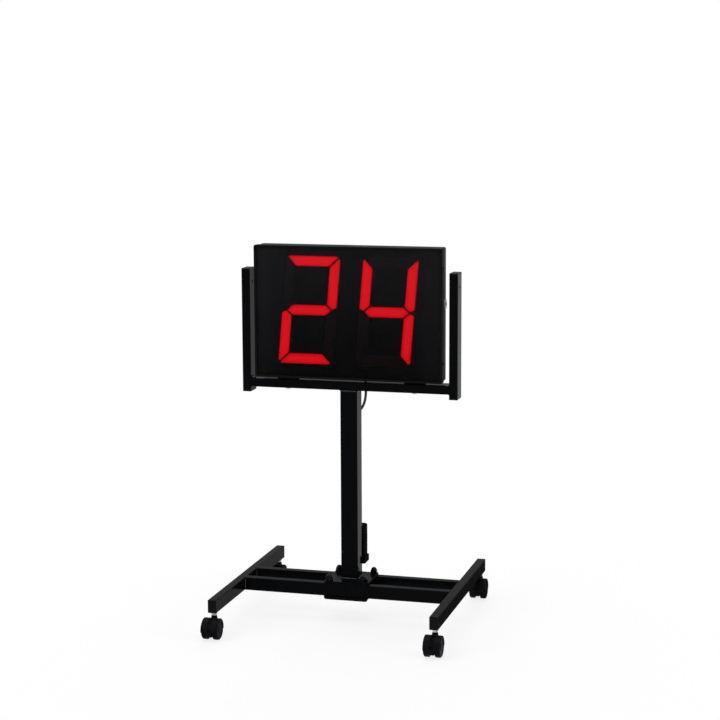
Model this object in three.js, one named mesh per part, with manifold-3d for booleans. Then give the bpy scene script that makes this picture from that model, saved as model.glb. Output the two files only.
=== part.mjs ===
// Shot clock on a low rolling floor stand: a one-face, two-digit countdown display held in a U-shaped
// frame on a square column, over an H-shaped base with four twin-wheel casters.
// Millimetres, +Z up, the face of the clock towards -Y. The origin is on the floor, under the middle
// of the whole object.

import * as THREE from 'three';
import { mergeVertices } from 'three/addons/utils/BufferGeometryUtils.js';
import Module from 'manifold-3d';

const wasm = await Module();
wasm.setup();

// Clearances
const seatGap = 0.3; // between two pieces that rest on each other or are welded together
const runGap = 0.2; // radial, round a pin that turns
const holeGap = 0.4; // radial, round a bolt
const overrun = 1; // how far a cut runs past the wall that it opens

// Fineness of round shapes
const cornerSteps = 1; // half the number of sides of a round corner
const ventSteps = 2; // the same, of a vent's ends
const domeSteps = 2;
const pinSides = 12;
const wheelSides = 20;
const discSides = 16; // of the bosses on the display's sides
const hoodSteps = 7; // half the number of sides of the hood's arc
const boltSides = 6; // of hexagons and slender bosses
const easeSteps = 1;

// Base: two foot bars joined by two rails
const baseWidth = 528; // over the outer faces of the foot bars
const footLength = 505; // over the end caps
const barWidth = 20;
const barHeight = 30;
const barWall = 1.6;
const barCorner = 2.5; // outer corner radius of the rectangular tube
const railSpacing = 84.8; // between the rails' centre lines

// End caps of the foot bars and of the upright arms
const capHead = 4;
const capPlug = 14; // of an arm's cap; a foot bar's cap stops short of the caster's nut
const capEase = 1.4; // rounding of the head's outer edges

// Casters
const casterHeight = 59; // floor to the underside of the foot bars
const casterInset = 15; // foot bar's end to the stem's axis
const casterTrail = 16; // stem's axis to the axle, level
const wheelRadius = 23;
const wheelWidth = 12.4;
const wheelHubRadius = 8;
const wheelRimDepth = 3.4; // thickness of the rim round the hollow inner side
const wheelDish = 1.5; // depth of the round hollow in the outer side
const wheelShoulder = 2;
const wheelFace = 2.4; // width of the flat ring round the dish of the outer side
const wheelFloor = 4; // thickness of the disc between hub and rim
const axleRadius = 3;
const hoodWeb = 12.8; // thickness of the web between the two wheels
const hoodWall = 1.4;
const hoodGap = 0.8; // hood to wheel
const hoodCollarRadius = 9;
const hoodTop = 50.5; // floor to the top of the hood's collar
const hoodSocketFloor = 30; // floor to the bottom of the stem's socket
const hoodGuardDip = 0.1; // radians that the guard reaches below the axle's level
const hoodWebDip = 0.56; // radians that the web reaches below the axle's level
const stemPinRadius = 4.2;
const stemNeckRadius = 5.5;
const stemHexRadius = 7.2;
const stemHexHeight = 4.7;
const stemThreadRadius = 4.9;
const stemThreadLength = 17;
const stemNutWall = 2.6; // of the nut inside the foot bar

// Flange plate on the rails and the channel that clamps them from below
const plateSideMargin = 10; // bolt's axis to the plate's side
const plateEndMargin = 9.6; // bolt's axis to the plate's front or rear edge
const plateThickness = 4.5;
const plateCorner = 6;
const boltSpacing = 84; // across the base
const boltRadius = 4;
const washerRadius = 9;
const washerThickness = 1.6;
const nutRadius = 8.4; // over the corners
const nutHeight = 6;
const domeRadius = 7;
const channelLap = 12.1; // a rail's middle to the channel's front or rear flange
const channelDepth = 7;
const channelWall = 3;
const channelCorner = 5; // rounding of the flanges' lower corners
const channelNutRadius = 7.5;
const channelNutHeight = 3.4;

// Column
const columnSize = 40;
const columnWall = 2;
const columnCorner = 3;
const columnLength = 441;
const weldSize = 4;

// U-frame: a crossbar between two arms
const armGap = 13.2; // display's side to an arm
const crossbarDepth = 40;
const crossbarHeight = 20;
const crossbarWall = 2;
const armThickness = 20;
const armDepth = 40;
const armLength = 286; // over the end caps
const armDrop = 12; // how far the arms reach below the crossbar
const armWall = 2;
const armCorner = 2.5;
const armHoleRadius = 3.5;
const armHoleDrop = 32; // arm's top to its fixing hole

// Display case
const displayWidth = 441;
const displayHeight = 304;
const displayDepth = 55;
const displayAdvance = 10; // how far the display's face stands in front of the arms
const displayCorner = 4;
const frameDepth = 18;
const frameWall = 2;
const frameEase = 0.8; // rounding of the frame's front edges
const lipWidth = 5;
const lipThickness = 3;
const windowThickness = 3;
const maskThickness = 2;
const housingSideInset = 4; // how far the rear housing stands in from the frame, on each side
const housingEndInset = 0.6; // the same, above and below
const housingWall = 2;
const housingRim = 2;

// Vents in the housing's back
const ventCount = 5;
const ventLength = 46;
const ventHeight = 4;
const ventPitch = 11;
const ventInset = 100.5; // display's side to the middle of a group of vents
const ventRise = 44; // display's centre to the lowest vent

// Digits: seven segments each, leaning to the right
const digitSideMargin = 65.2; // display's side to the nearer digit's side, halfway up
const digitGap = 52.6; // between the digits, halfway up
const digitEndMargin = 28; // half the part of the display's height that the digits leave free
const digitRise = 5.5; // digits' centre above the display's centre
const digitLean = THREE.MathUtils.degToRad(5);
const segmentWidth = 24;
const segmentGap = 2.8;
const segmentCorner = 9; // cut at the digit's outer corners
const segmentTipInset = 10.5; // digit's side to the points where the segments meet halfway up
const segmentTipRise = 5; // how far a vertical segment's outer side ends short of its point
const segmentSink = 0.4; // segment's face behind the mask's face
const apertureGap = 0.4;
const lensPlate = 1;
const lensMargin = 6;

// Circuit board behind the digits, on bosses of the housing
const boardSideInset = 24.5; // display's side to the board's edge
const boardEndInset = 21; // the same, above and below
const boardThickness = 1.6;
const boardSetback = 4;
const bossRadius = 4;
const bossInset = 12; // board's edge to a boss
const stripWidth = 8; // of the row of lamps behind each segment
const stripHeight = 1.2;

// Display's seat on the crossbar
const padWidth = 44;
const padInset = 70.5; // display's side to the middle of a pad and its bolt
const padStand = 5; // crossbar's top to the underside of the display's frame
const seatBoltRadius = 3;
const seatBoltHead = 5.8; // over the corners
const seatBoltHeadHeight = 4;
const seatNutRadius = 7;
const seatNutHeight = 9;

// Threaded bosses on the display's sides
const sideBossRadius = 12.5;
const sideBossHeight = 4.7;
const sideBossHole = 4;
const sideBossSpigot = 7;
const sideBossRise = 176.5; // display's underside to the boss
const sideBossSetback = 4; // boss behind the frame's middle plane
const sideBossEase = 0.8;

// Connector plate, elbow plug and lead
const connectorWidth = 84;
const connectorHeight = 32;
const connectorThickness = 2;
const connectorCorner = 3;
const connectorRise = 31; // display's underside to the plate's centre
const connectorAside = 24; // centre line to each of the two sockets
const connectorLap = 6; // how far the plate covers the housing round its opening
const socketRadius = 9;
const socketDepth = 6;
const socketBore = 6.5;
const jackRadius = 6;
const jackBore = 3;
const plugRadius = 6.5;
const plugReach = 15; // jack's face to the plug's upright axis
const plugHeight = 24;
const plugTailRadius = 4.4;
const plugTailLength = 14;
const leadRadius = 3;
const leadSides = 8;
const leadSteps = 24;
const clipRadius = 5.2;
const clipWidth = 12;
const clipFoot = 22;
const clipDrop = 107.1; // column's top to the middle of the upper clip
const clipRise = 91.1; // adapter's top to the middle of the lower clip
const upperBendDrop = 125.4; // plug's tail to where the lead runs straight
const lowerBendRise = 88; // adapter's tail to where the lead runs straight
const upperBendShares = [[0, 0.2], [0.03, 0.43], [0.22, 0.585], [0.68, 0.73], [1, 0.87], [1, 1]]; // see leadRoute
const lowerBendShares = [[1, 1], [1, 0.77], [0.89, 0.455], [0.38, 0.205], [0, 0.045]]; // see leadRoute

// Power adapter and its tray on the column's back
const adapterWidth = 48;
const adapterDepth = 34;
const adapterHeight = 88;
const adapterCorner = 6;
const adapterEase = 4.5;
const adapterTailRadius = 5;
const adapterTailLength = 11;
const inletWidth = 18;
const inletHeight = 9;
const inletDepth = 12;
const trayHeight = 121; // floor to the tray's underside
const trayWall = 1.6;
const trayLip = 15;
const trayBack = 70;
const trayCutWidth = 30;
const trayCutDepth = 18;

// Heights, from the floor up
const footTop = casterHeight + barHeight;
const plateBottom = footTop + seatGap;
const plateTop = plateBottom + plateThickness;
const columnBottom = plateTop + seatGap;
const columnTop = columnBottom + columnLength;
const crossbarBottom = columnTop + seatGap;
const crossbarTop = crossbarBottom + crossbarHeight;
const armBottom = crossbarBottom - armDrop;
const armTop = armBottom + armLength;
const displayBottom = crossbarTop + padStand;
const displayMiddle = displayBottom + displayHeight / 2;
const housingBottom = displayBottom + housingEndInset;
const digitMiddle = displayMiddle + digitRise;

// Planes across the depth, from the display's face to its back; the column's axis is at zero
const faceY = -(armDepth / 2 + displayAdvance);
const lipBackY = faceY + lipThickness;
const windowFrontY = lipBackY + seatGap;
const windowBackY = windowFrontY + windowThickness;
const maskFrontY = windowBackY + seatGap;
const maskBackY = maskFrontY + maskThickness;
const housingFrontY = maskBackY + seatGap;
const segmentFaceY = maskFrontY + segmentSink;
const litPlateBackY = housingFrontY + lensPlate;
const darkPlateFrontY = litPlateBackY + seatGap;
const darkPlateBackY = darkPlateFrontY + lensPlate;
const boardFrontY = darkPlateBackY + boardSetback;
const boardBackY = boardFrontY + boardThickness;
const frameBackY = faceY + frameDepth;
const displayBackY = faceY + displayDepth;
const columnBackY = columnSize / 2;

// Places that several pieces share
const plateWidth = boltSpacing + 2 * plateSideMargin;
const plateDepth = railSpacing + 2 * plateEndMargin;
const channelWidth = railSpacing + 2 * channelLap; // over both flanges
const footX = (baseWidth - barWidth) / 2;
const casterY = footLength / 2 - casterInset;
const frameWidth = displayWidth + 2 * (armGap + armThickness); // over the outer faces of the arms
const armX = (frameWidth - armThickness) / 2;
const housingWidth = displayWidth - 2 * housingSideInset;
const housingHeight = displayHeight - 2 * housingEndInset;
const digitWidth = (displayWidth - digitGap) / 2 - digitSideMargin;
const digitHeight = displayHeight - 2 * digitEndMargin;
const digitSpacing = digitWidth + digitGap; // between the digits' centres
const boardWidth = displayWidth - 2 * boardSideInset;
const boardHeight = displayHeight - 2 * boardEndInset;
const ventAside = displayWidth / 2 - ventInset; // centre line to a group of vents
const padAside = displayWidth / 2 - padInset; // centre line to a pad and its bolt
const wheelInnerX = hoodWeb / 2 + runGap * 2;
const wheelOuterX = wheelInnerX + wheelWidth;
const hoodRadius = wheelRadius + hoodGap + hoodWall;
const trayBackY = columnBackY + seatGap;
const adapterFrontY = trayBackY + trayWall + seatGap;
const adapterMiddleY = adapterFrontY + adapterDepth / 2;
const adapterBottom = trayHeight + trayWall + seatGap;
const adapterTop = adapterBottom + adapterHeight;
const plugY = displayBackY + seatGap + connectorThickness + seatGap + plugReach;
const connectorMiddle = displayBottom + connectorRise;
const plugTailBottom = connectorMiddle - plugHeight / 2 - plugTailLength;

// Finishes
const finish = (color, roughness, metalness) => new THREE.MeshStandardMaterial({ color, roughness, metalness });
const blackPaint = finish(0x0c0d0f, 0.32, 0.1);
const blackCase = finish(0x101113, 0.38, 0.1);
const blackPlastic = finish(0x131314, 0.5, 0);
const blackRubber = finish(0x0e0e0e, 0.85, 0);
const blackNut = finish(0x16171a, 0.25, 0.6);
const zinc = finish(0xc9ccd0, 0.28, 1);
const nickel = finish(0x9a9da2, 0.3, 1);
const maskBlack = finish(0x0a0a0b, 0.6, 0);
const litRed = new THREE.MeshStandardMaterial({ color: 0xe11420, emissive: 0xe11420, roughness: 0.4 });
const darkRed = finish(0x1c0d0c, 0.5, 0);
const boardGreen = finish(0x12392a, 0.6, 0);
const smokedGlass = new THREE.MeshStandardMaterial({
  color: 0x18181a,
  roughness: 0.08,
  transparent: true,
  opacity: 0.35,
});

const clock = new THREE.Group();
clock.name = 'shot_clock';

// Turning geometry into solids and back

/** A closed solid with the shape of a three.js geometry. */
function solid(geometry) {
  const bare = geometry.clone();
  bare.deleteAttribute('normal');
  bare.deleteAttribute('uv');
  const merged = mergeVertices(bare);
  const corners = Array.from(merged.index.array);
  const kept = [];
  for (let i = 0; i < corners.length; i += 3) {
    const [a, b, c] = corners.slice(i, i + 3);
    if (a !== b && b !== c && c !== a) kept.push(a, b, c);
  }
  return new wasm.Manifold(new wasm.Mesh({
    numProp: 3,
    vertProperties: new Float32Array(merged.attributes.position.array),
    triVerts: new Uint32Array(kept),
  }));
}

/** One solid from several overlapping ones. */
const join = (...solids) => solids.reduce((whole, piece) => whole.add(piece));

/** A solid less every solid that follows it. */
const cut = (whole, ...tools) => tools.reduce((rest, tool) => rest.subtract(tool), whole);

/** Adds a solid to a group as one named mesh. */
function place(name, shape, material, parent = clock) {
  const { vertProperties, triVerts } = shape.getMesh();
  const geometry = new THREE.BufferGeometry();
  geometry.setAttribute('position', new THREE.BufferAttribute(vertProperties, 3));
  geometry.setIndex(new THREE.BufferAttribute(triVerts, 1));
  const faceted = geometry.toNonIndexed();
  faceted.computeVertexNormals();
  const mesh = new THREE.Mesh(faceted, material);
  mesh.name = name;
  parent.add(mesh);
  return mesh;
}

// Outlines

/** An outline through a list of points. */
const polygon = (points) => new THREE.Shape(points.map(([x, y]) => new THREE.Vector2(x, y)));

/** A rectangle with round corners, centred on zero. */
function roundedOutline(width, height, radius) {
  const x = width / 2;
  const y = height / 2;
  const outline = new THREE.Shape();
  outline.absarc(x - radius, y - radius, radius, 0, Math.PI / 2);
  outline.absarc(-x + radius, y - radius, radius, Math.PI / 2, Math.PI);
  outline.absarc(-x + radius, -y + radius, radius, Math.PI, Math.PI * 1.5);
  outline.absarc(x - radius, -y + radius, radius, Math.PI * 1.5, Math.PI * 2);
  outline.closePath();
  return outline;
}

/** A rectangle centred on zero. */
function plainOutline(width, height) {
  const x = width / 2;
  const y = height / 2;
  return polygon([[-x, -y], [x, -y], [x, y], [-x, y]]);
}

/** The section of a rectangular tube, round outside and square inside. */
function tubeOutline(width, height, radius, wall) {
  const outline = roundedOutline(width, height, radius);
  outline.holes.push(plainOutline(width - 2 * wall, height - 2 * wall));
  return outline;
}

/** A ring between two rounded rectangles. */
function ringOutline(width, height, radius, openWidth, openHeight, openRadius) {
  const outline = roundedOutline(width, height, radius);
  outline.holes.push(roundedOutline(openWidth, openHeight, openRadius));
  return outline;
}

/** A round hole or section with a number of sides. */
function circle(radius, x = 0, y = 0, sides = pinSides) {
  const angles = [...Array(sides).keys()].map((step) => step / sides * Math.PI * 2);
  return polygon(angles.map((angle) => [x + radius * Math.cos(angle), y + radius * Math.sin(angle)]));
}

/** A slot with round ends, level, centred on a point. */
function slot(length, height, x, y) {
  const radius = height / 2;
  const reach = length / 2 - radius;
  const outline = new THREE.Shape();
  outline.absarc(x + reach, y, radius, -Math.PI / 2, Math.PI / 2);
  outline.absarc(x - reach, y, radius, Math.PI / 2, Math.PI * 1.5);
  outline.closePath();
  return outline;
}

// Extrusions and round solids

/** The part of an extrusion that all three directions share: outline up from zero by a length. */
function extrude(outline, length, ease, steps = cornerSteps) {
  const geometry = new THREE.ExtrudeGeometry(outline, {
    depth: length - 2 * ease,
    bevelEnabled: ease > 0,
    bevelThickness: ease,
    bevelSize: ease,
    bevelOffset: -ease,
    bevelSegments: easeSteps,
    curveSegments: steps,
  });
  return geometry.translate(0, 0, ease);
}

/** Extrudes a plan (X, Y) between two heights. */
function alongZ(outline, bottom, top, ease = 0, steps = cornerSteps) {
  return solid(extrude(outline, top - bottom, ease, steps).translate(0, 0, bottom));
}

/** Extrudes a front view (X, Z) between two planes across the depth. */
function alongY(outline, front, back, ease = 0, steps = cornerSteps) {
  return solid(extrude(outline, back - front, ease, steps).rotateX(Math.PI / 2).translate(0, back, 0));
}

/** Extrudes a side view (Y, Z) between two planes across the width. */
function alongX(outline, left, right, ease = 0, steps = cornerSteps) {
  const turn = new THREE.Matrix4().makeBasis(
    new THREE.Vector3(0, 1, 0),
    new THREE.Vector3(0, 0, 1),
    new THREE.Vector3(1, 0, 0),
  );
  return solid(extrude(outline, right - left, ease, steps).applyMatrix4(turn).translate(left, 0, 0));
}

/** An upright round or many-sided bar between two heights, tapered if it has a second radius. */
function barZ(radius, bottom, top, x = 0, y = 0, sides = pinSides, topRadius = radius) {
  const bar = new THREE.CylinderGeometry(topRadius, radius, top - bottom, sides);
  return solid(bar.rotateX(Math.PI / 2).translate(x, y, (bottom + top) / 2));
}

/** A round bar along Y. */
function barY(radius, front, back, x = 0, z = 0, sides = pinSides) {
  return solid(new THREE.CylinderGeometry(radius, radius, back - front, sides).translate(x, (front + back) / 2, z));
}

/** A round bar along X. */
function barX(radius, left, right, y = 0, z = 0, sides = pinSides) {
  const bar = new THREE.CylinderGeometry(radius, radius, right - left, sides);
  return solid(bar.rotateZ(-Math.PI / 2).translate((left + right) / 2, y, z));
}

/** A box between two corners. */
function block(x0, x1, y0, y1, z0, z1) {
  const box = new THREE.BoxGeometry(x1 - x0, y1 - y0, z1 - z0);
  return solid(box.translate((x0 + x1) / 2, (y0 + y1) / 2, (z0 + z1) / 2));
}

/** A profile of [radius, height] points turned about the Z axis. */
function turned(profile, sides = pinSides) {
  const points = profile.map(([radius, height]) => new THREE.Vector2(radius, height));
  return solid(new THREE.LatheGeometry(points, sides).rotateX(Math.PI / 2));
}

// Base

/** A plug-in end cap whose head closes a tube that ends at zero height, head upwards. */
function endCap(width, height, radius, wall, plugLength) {
  const plugWidth = width - 2 * (wall + seatGap);
  const plugHeight = height - 2 * (wall + seatGap);
  const head = alongZ(roundedOutline(width, height, radius), seatGap, capHead, capEase);
  const plug = alongZ(plainOutline(plugWidth, plugHeight), -plugLength, capHead / 2);
  const hollow = alongZ(plainOutline(plugWidth - 2 * wall, plugHeight - 2 * wall), -plugLength - overrun, 0);
  return cut(join(head, plug), hollow);
}

/** A foot bar: a tube with a nut inside each end for a caster's stem. */
function footBar() {
  const half = footLength / 2 - capHead;
  const middle = casterHeight + barHeight / 2;
  const tube = alongY(tubeOutline(barWidth, barHeight, barCorner, barWall), -half, half)
    .translate([0, 0, middle]);
  const nutRadiusOut = stemThreadRadius + stemNutWall;
  const nutTop = casterHeight + stemThreadLength;
  return [-casterY, casterY].reduce((bar, y) => {
    const nut = barZ(nutRadiusOut, casterHeight + barWall / 2, nutTop, 0, y);
    const bore = barZ(stemThreadRadius + holeGap, casterHeight - overrun, nutTop + overrun, 0, y);
    return cut(join(bar, nut), bore);
  }, tube);
}

function addFeet() {
  const plugLength = casterInset - stemThreadRadius - stemNutWall - capHead - seatGap;
  for (const [side, x] of [['left', -footX], ['right', footX]]) {
    const foot = new THREE.Group();
    foot.position.x = x;
    clock.add(foot);
    place(`foot_${side}`, footBar(), blackPaint, foot);
    for (const [end, turn] of [['front', 1], ['rear', -1]]) {
      const shape = endCap(barWidth, barHeight, barCorner, barWall, plugLength);
      const cap = place(`foot_cap_${side}_${end}`, shape, blackPlastic, foot);
      cap.rotation.x = turn * Math.PI / 2;
      cap.position.y = -turn * (footLength / 2 - capHead);
      cap.position.z = casterHeight + barHeight / 2;
    }
  }
}

/** A rail between the foot bars, with the holes of the two flange bolts that pass it. */
function rail(y) {
  const reach = footX - barWidth / 2 - seatGap;
  const tube = alongX(tubeOutline(barWidth, barHeight, barCorner, barWall), -reach, reach)
    .translate([0, y, casterHeight + barHeight / 2]);
  const holes = [-1, 1].map((side) => {
    const x = side * boltSpacing / 2;
    return barZ(boltRadius + holeGap, casterHeight - overrun, footTop + overrun, x, y);
  });
  return cut(tube, ...holes);
}

/** The four places of the flange bolts, seen from above. */
const boltPlaces = [
  ['front_left', -boltSpacing / 2, -railSpacing / 2],
  ['front_right', boltSpacing / 2, -railSpacing / 2],
  ['rear_left', -boltSpacing / 2, railSpacing / 2],
  ['rear_right', boltSpacing / 2, railSpacing / 2],
];

function flangePlate() {
  const outline = roundedOutline(plateWidth, plateDepth, plateCorner);
  for (const [, x, y] of boltPlaces) {
    outline.holes.push(circle(boltRadius + holeGap, x, y));
  }
  return alongZ(outline, plateBottom, plateTop);
}

/** The pressed channel under the rails, open downwards, with a nut welded on for each bolt. */
function clampChannel() {
  const top = casterHeight - seatGap;
  const bottom = top - channelDepth;
  const y = channelWidth / 2;
  const section = polygon([
    [-y, top],
    [-y, bottom],
    [-y + channelWall, bottom],
    [-y + channelWall, top - channelWall],
    [y - channelWall, top - channelWall],
    [y - channelWall, bottom],
    [y, bottom],
    [y, top],
  ]);
  const side = roundedOutline(plateWidth, channelDepth + channelCorner, channelCorner);
  const roundEnds = alongY(side, -y - overrun, y + overrun)
    .translate([0, 0, bottom + (channelDepth + channelCorner) / 2]);
  const pressed = alongX(section, -plateWidth / 2, plateWidth / 2).intersect(roundEnds);
  return boltPlaces.reduce((whole, [, x, boltY]) => {
    const underside = top - channelWall;
    const nut = barZ(channelNutRadius, underside - channelNutHeight, top - channelWall / 2, x, boltY, boltSides);
    const bore = barZ(boltRadius + holeGap, bottom - overrun, top + overrun, x, boltY);
    return cut(join(whole, nut), bore);
  }, pressed);
}

/** A flange bolt with its washer and domed head, its shank down through plate, rail and channel. */
function flangeBolt() {
  const seat = plateTop + seatGap;
  const hexTop = seat + washerThickness + nutHeight;
  const tip = casterHeight - seatGap - channelDepth;
  const domeBase = [domeRadius, hexTop];
  const domeArc = [...Array(domeSteps).keys()].map((step) => {
    const angle = (step + 1) / domeSteps * Math.PI / 2;
    return [domeRadius * Math.cos(angle), hexTop + domeRadius * Math.sin(angle)];
  });
  domeArc[domeSteps - 1][0] = 0;
  const stalk = turned([
    [0, tip],
    [boltRadius, tip],
    [boltRadius, seat],
    [washerRadius, seat],
    [washerRadius, seat + washerThickness],
    [domeRadius, seat + washerThickness],
    domeBase,
    ...domeArc,
  ]);
  return join(stalk, barZ(nutRadius, seat + washerThickness / 2, hexTop, 0, 0, boltSides));
}

function addBase() {
  addFeet();
  place('rail_front', rail(-railSpacing / 2), blackPaint);
  place('rail_rear', rail(railSpacing / 2), blackPaint);
  place('flange_plate', flangePlate(), blackPaint);
  place('clamp_channel', clampChannel(), blackPaint);
  for (const [where, x, y] of boltPlaces) {
    const bolt = place(`flange_bolt_${where}`, flangeBolt(), blackNut);
    bolt.position.set(x, y, 0);
  }
}

// Casters

/** The fixed stem: a pin for the hood, a neck, a hexagon and the thread in the foot bar. */
function casterStem() {
  const hexTop = casterHeight - seatGap;
  const hexBottom = hexTop - stemHexHeight;
  const shaft = turned([
    [0, hoodSocketFloor + seatGap],
    [stemPinRadius, hoodSocketFloor + seatGap],
    [stemPinRadius, hoodTop + seatGap],
    [stemNeckRadius, hoodTop + seatGap],
    [stemNeckRadius, hexTop],
    [stemThreadRadius, hexTop],
    [stemThreadRadius, casterHeight + stemThreadLength - stemPinRadius / 4],
    [stemPinRadius, casterHeight + stemThreadLength],
    [0, casterHeight + stemThreadLength],
  ]);
  return join(shaft, barZ(stemHexRadius, hexBottom, hexTop, 0, 0, boltSides));
}

/** A side view of the hood: the part of a disc that lies above a level below the axle. */
function hoodOutline(radius, dip) {
  const outline = new THREE.Shape();
  outline.absarc(-casterTrail, wheelRadius, radius, -dip, Math.PI + dip);
  outline.closePath();
  return outline;
}

/** The swivelling hood: web, guard over both wheels, collar for the stem, and the axle. */
function casterHood() {
  const guard = alongX(hoodOutline(hoodRadius, hoodGuardDip), -wheelOuterX, wheelOuterX, 0, hoodSteps);
  const web = alongX(hoodOutline(hoodRadius, hoodWebDip), -hoodWeb / 2, hoodWeb / 2, 0, hoodSteps);
  const collar = barZ(hoodCollarRadius, wheelRadius + hoodWall, hoodTop);
  const spine = barZ(hoodWeb / 2, wheelRadius, hoodTop);
  const spaceRadius = wheelRadius + hoodGap;
  const spaces = [-1, 1].map((side) => {
    const near = side * hoodWeb / 2;
    const far = side * (wheelOuterX + hoodCollarRadius);
    return barX(spaceRadius, Math.min(near, far), Math.max(near, far), -casterTrail, wheelRadius, wheelSides);
  });
  const socket = barZ(stemPinRadius + runGap, hoodSocketFloor, hoodTop + overrun);
  const axleReach = wheelOuterX - wheelFloor;
  const axle = barX(axleRadius, -axleReach, axleReach, -casterTrail, wheelRadius);
  return join(cut(join(guard, collar), ...spaces), cut(join(web, spine), socket), axle).subtract(socket);
}

/** A wheel with a closed outer side, turned about its axis with that side up; its inner face is at zero. */
function casterWheel() {
  const bore = axleRadius + runGap;
  const boreDepth = wheelWidth - wheelFloor + seatGap;
  const hollowDepth = wheelWidth - wheelFloor;
  const rimInner = wheelRadius - wheelRimDepth;
  const dishOuter = wheelRadius - wheelShoulder - wheelFace;
  return turned([
    [0, boreDepth],
    [bore, boreDepth],
    [bore, 0],
    [wheelHubRadius, 0],
    [wheelHubRadius, hollowDepth],
    [rimInner, hollowDepth],
    [rimInner, 0],
    [wheelRadius, 0],
    [wheelRadius, wheelWidth - wheelShoulder],
    [wheelRadius - wheelShoulder, wheelWidth],
    [dishOuter, wheelWidth],
    [dishOuter - wheelDish, wheelWidth - wheelDish],
    [0, wheelWidth - wheelDish],
  ], wheelSides);
}

function addCasters() {
  for (const [side, x] of [['left', -footX], ['right', footX]]) {
    for (const [end, y] of [['front', -casterY], ['rear', casterY]]) {
      const name = `${side}_${end}`;
      const caster = new THREE.Group();
      caster.position.set(x, y, 0);
      clock.add(caster);
      place(`caster_stem_${name}`, casterStem(), zinc, caster);
      place(`caster_hood_${name}`, casterHood(), blackPlastic, caster);
      for (const [hand, turn] of [['inner', -Math.sign(x)], ['outer', Math.sign(x)]]) {
        const wheel = place(`caster_wheel_${name}_${hand}`, casterWheel(), blackPlastic, caster);
        wheel.rotation.y = turn * Math.PI / 2;
        wheel.position.set(turn * wheelInnerX, -casterTrail, wheelRadius);
      }
    }
  }
}

// Column and U-frame

/** The column with the weld that runs round each of its ends. */
function column() {
  const tube = alongZ(roundedOutline(columnSize, columnSize, columnCorner), columnBottom, columnTop);
  const halfDiagonal = columnSize / Math.SQRT2;
  const weldDiagonal = halfDiagonal + weldSize * Math.SQRT2;
  const lower = weldRing(weldDiagonal, halfDiagonal, columnBottom);
  const upper = weldRing(halfDiagonal, weldDiagonal, columnTop - weldSize);
  const inside = columnSize - 2 * columnWall;
  const bore = alongZ(roundedOutline(inside, inside, columnCorner / 2), columnBottom - overrun, columnTop + overrun);
  return cut(join(tube, lower, upper), bore);
}

/** A four-sided block that narrows or widens upwards, for a weld round a square tube. */
function weldRing(bottomDiagonal, topDiagonal, bottom) {
  const ring = new THREE.CylinderGeometry(topDiagonal, bottomDiagonal, weldSize, 4);
  return solid(ring.rotateX(Math.PI / 2).rotateZ(Math.PI / 4).translate(0, 0, bottom + weldSize / 2));
}

/** The crossbar, with a hole for each bolt that holds the display. */
function crossbar() {
  const reach = frameWidth / 2 - armThickness - seatGap;
  const tube = alongX(tubeOutline(crossbarDepth, crossbarHeight, armCorner, crossbarWall), -reach, reach)
    .translate([0, 0, crossbarBottom + crossbarHeight / 2]);
  const holes = [-padAside, padAside].map((x) => (
    barZ(seatBoltRadius + holeGap, crossbarBottom - overrun, crossbarTop + overrun, x)
  ));
  return cut(tube, ...holes);
}

/** An arm of the U-frame, with its fixing hole near the top. */
function arm() {
  const tube = alongZ(
    tubeOutline(armThickness, armDepth, armCorner, armWall),
    armBottom + capHead,
    armTop - capHead,
  );
  const reach = armThickness / 2 + overrun;
  return cut(tube, barX(armHoleRadius, -reach, reach, 0, armTop - armHoleDrop));
}

function addFrame() {
  place('column', column(), blackPaint);
  place('crossbar', crossbar(), blackPaint);
  for (const [side, x] of [['left', -armX], ['right', armX]]) {
    const upright = new THREE.Group();
    upright.position.x = x;
    clock.add(upright);
    place(`arm_${side}`, arm(), blackPaint, upright);
    const capShape = endCap(armThickness, armDepth, armCorner, armWall, capPlug);
    const topCap = place(`arm_cap_${side}_top`, capShape, blackPlastic, upright);
    topCap.position.z = armTop - capHead;
    const lowCap = place(`arm_cap_${side}_bottom`, capShape, blackPlastic, upright);
    lowCap.rotation.x = Math.PI;
    lowCap.position.z = armBottom + capHead;
  }
}

// Display case

/** The front frame: a sleeve round the case with a lip in front of the window. */
function frontFrame() {
  const openWidth = displayWidth - 2 * frameWall;
  const openHeight = displayHeight - 2 * frameWall;
  const lipWide = displayWidth - 2 * lipWidth;
  const lipHigh = displayHeight - 2 * lipWidth;
  const innerCorner = displayCorner - frameWall;
  const sleeve = ringOutline(displayWidth, displayHeight, displayCorner, openWidth, openHeight, innerCorner);
  const lip = ringOutline(displayWidth, displayHeight, displayCorner, lipWide, lipHigh, innerCorner);
  return join(
    alongY(sleeve, faceY + lipThickness / 2, frameBackY),
    alongY(lip, faceY, lipBackY, frameEase),
  ).translate([0, 0, displayMiddle]);
}

/** A flat sheet that drops into the front frame. */
function sheetOutline() {
  const fit = 2 * (frameWall + seatGap);
  return roundedOutline(displayWidth - fit, displayHeight - fit, displayCorner - frameWall);
}

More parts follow.
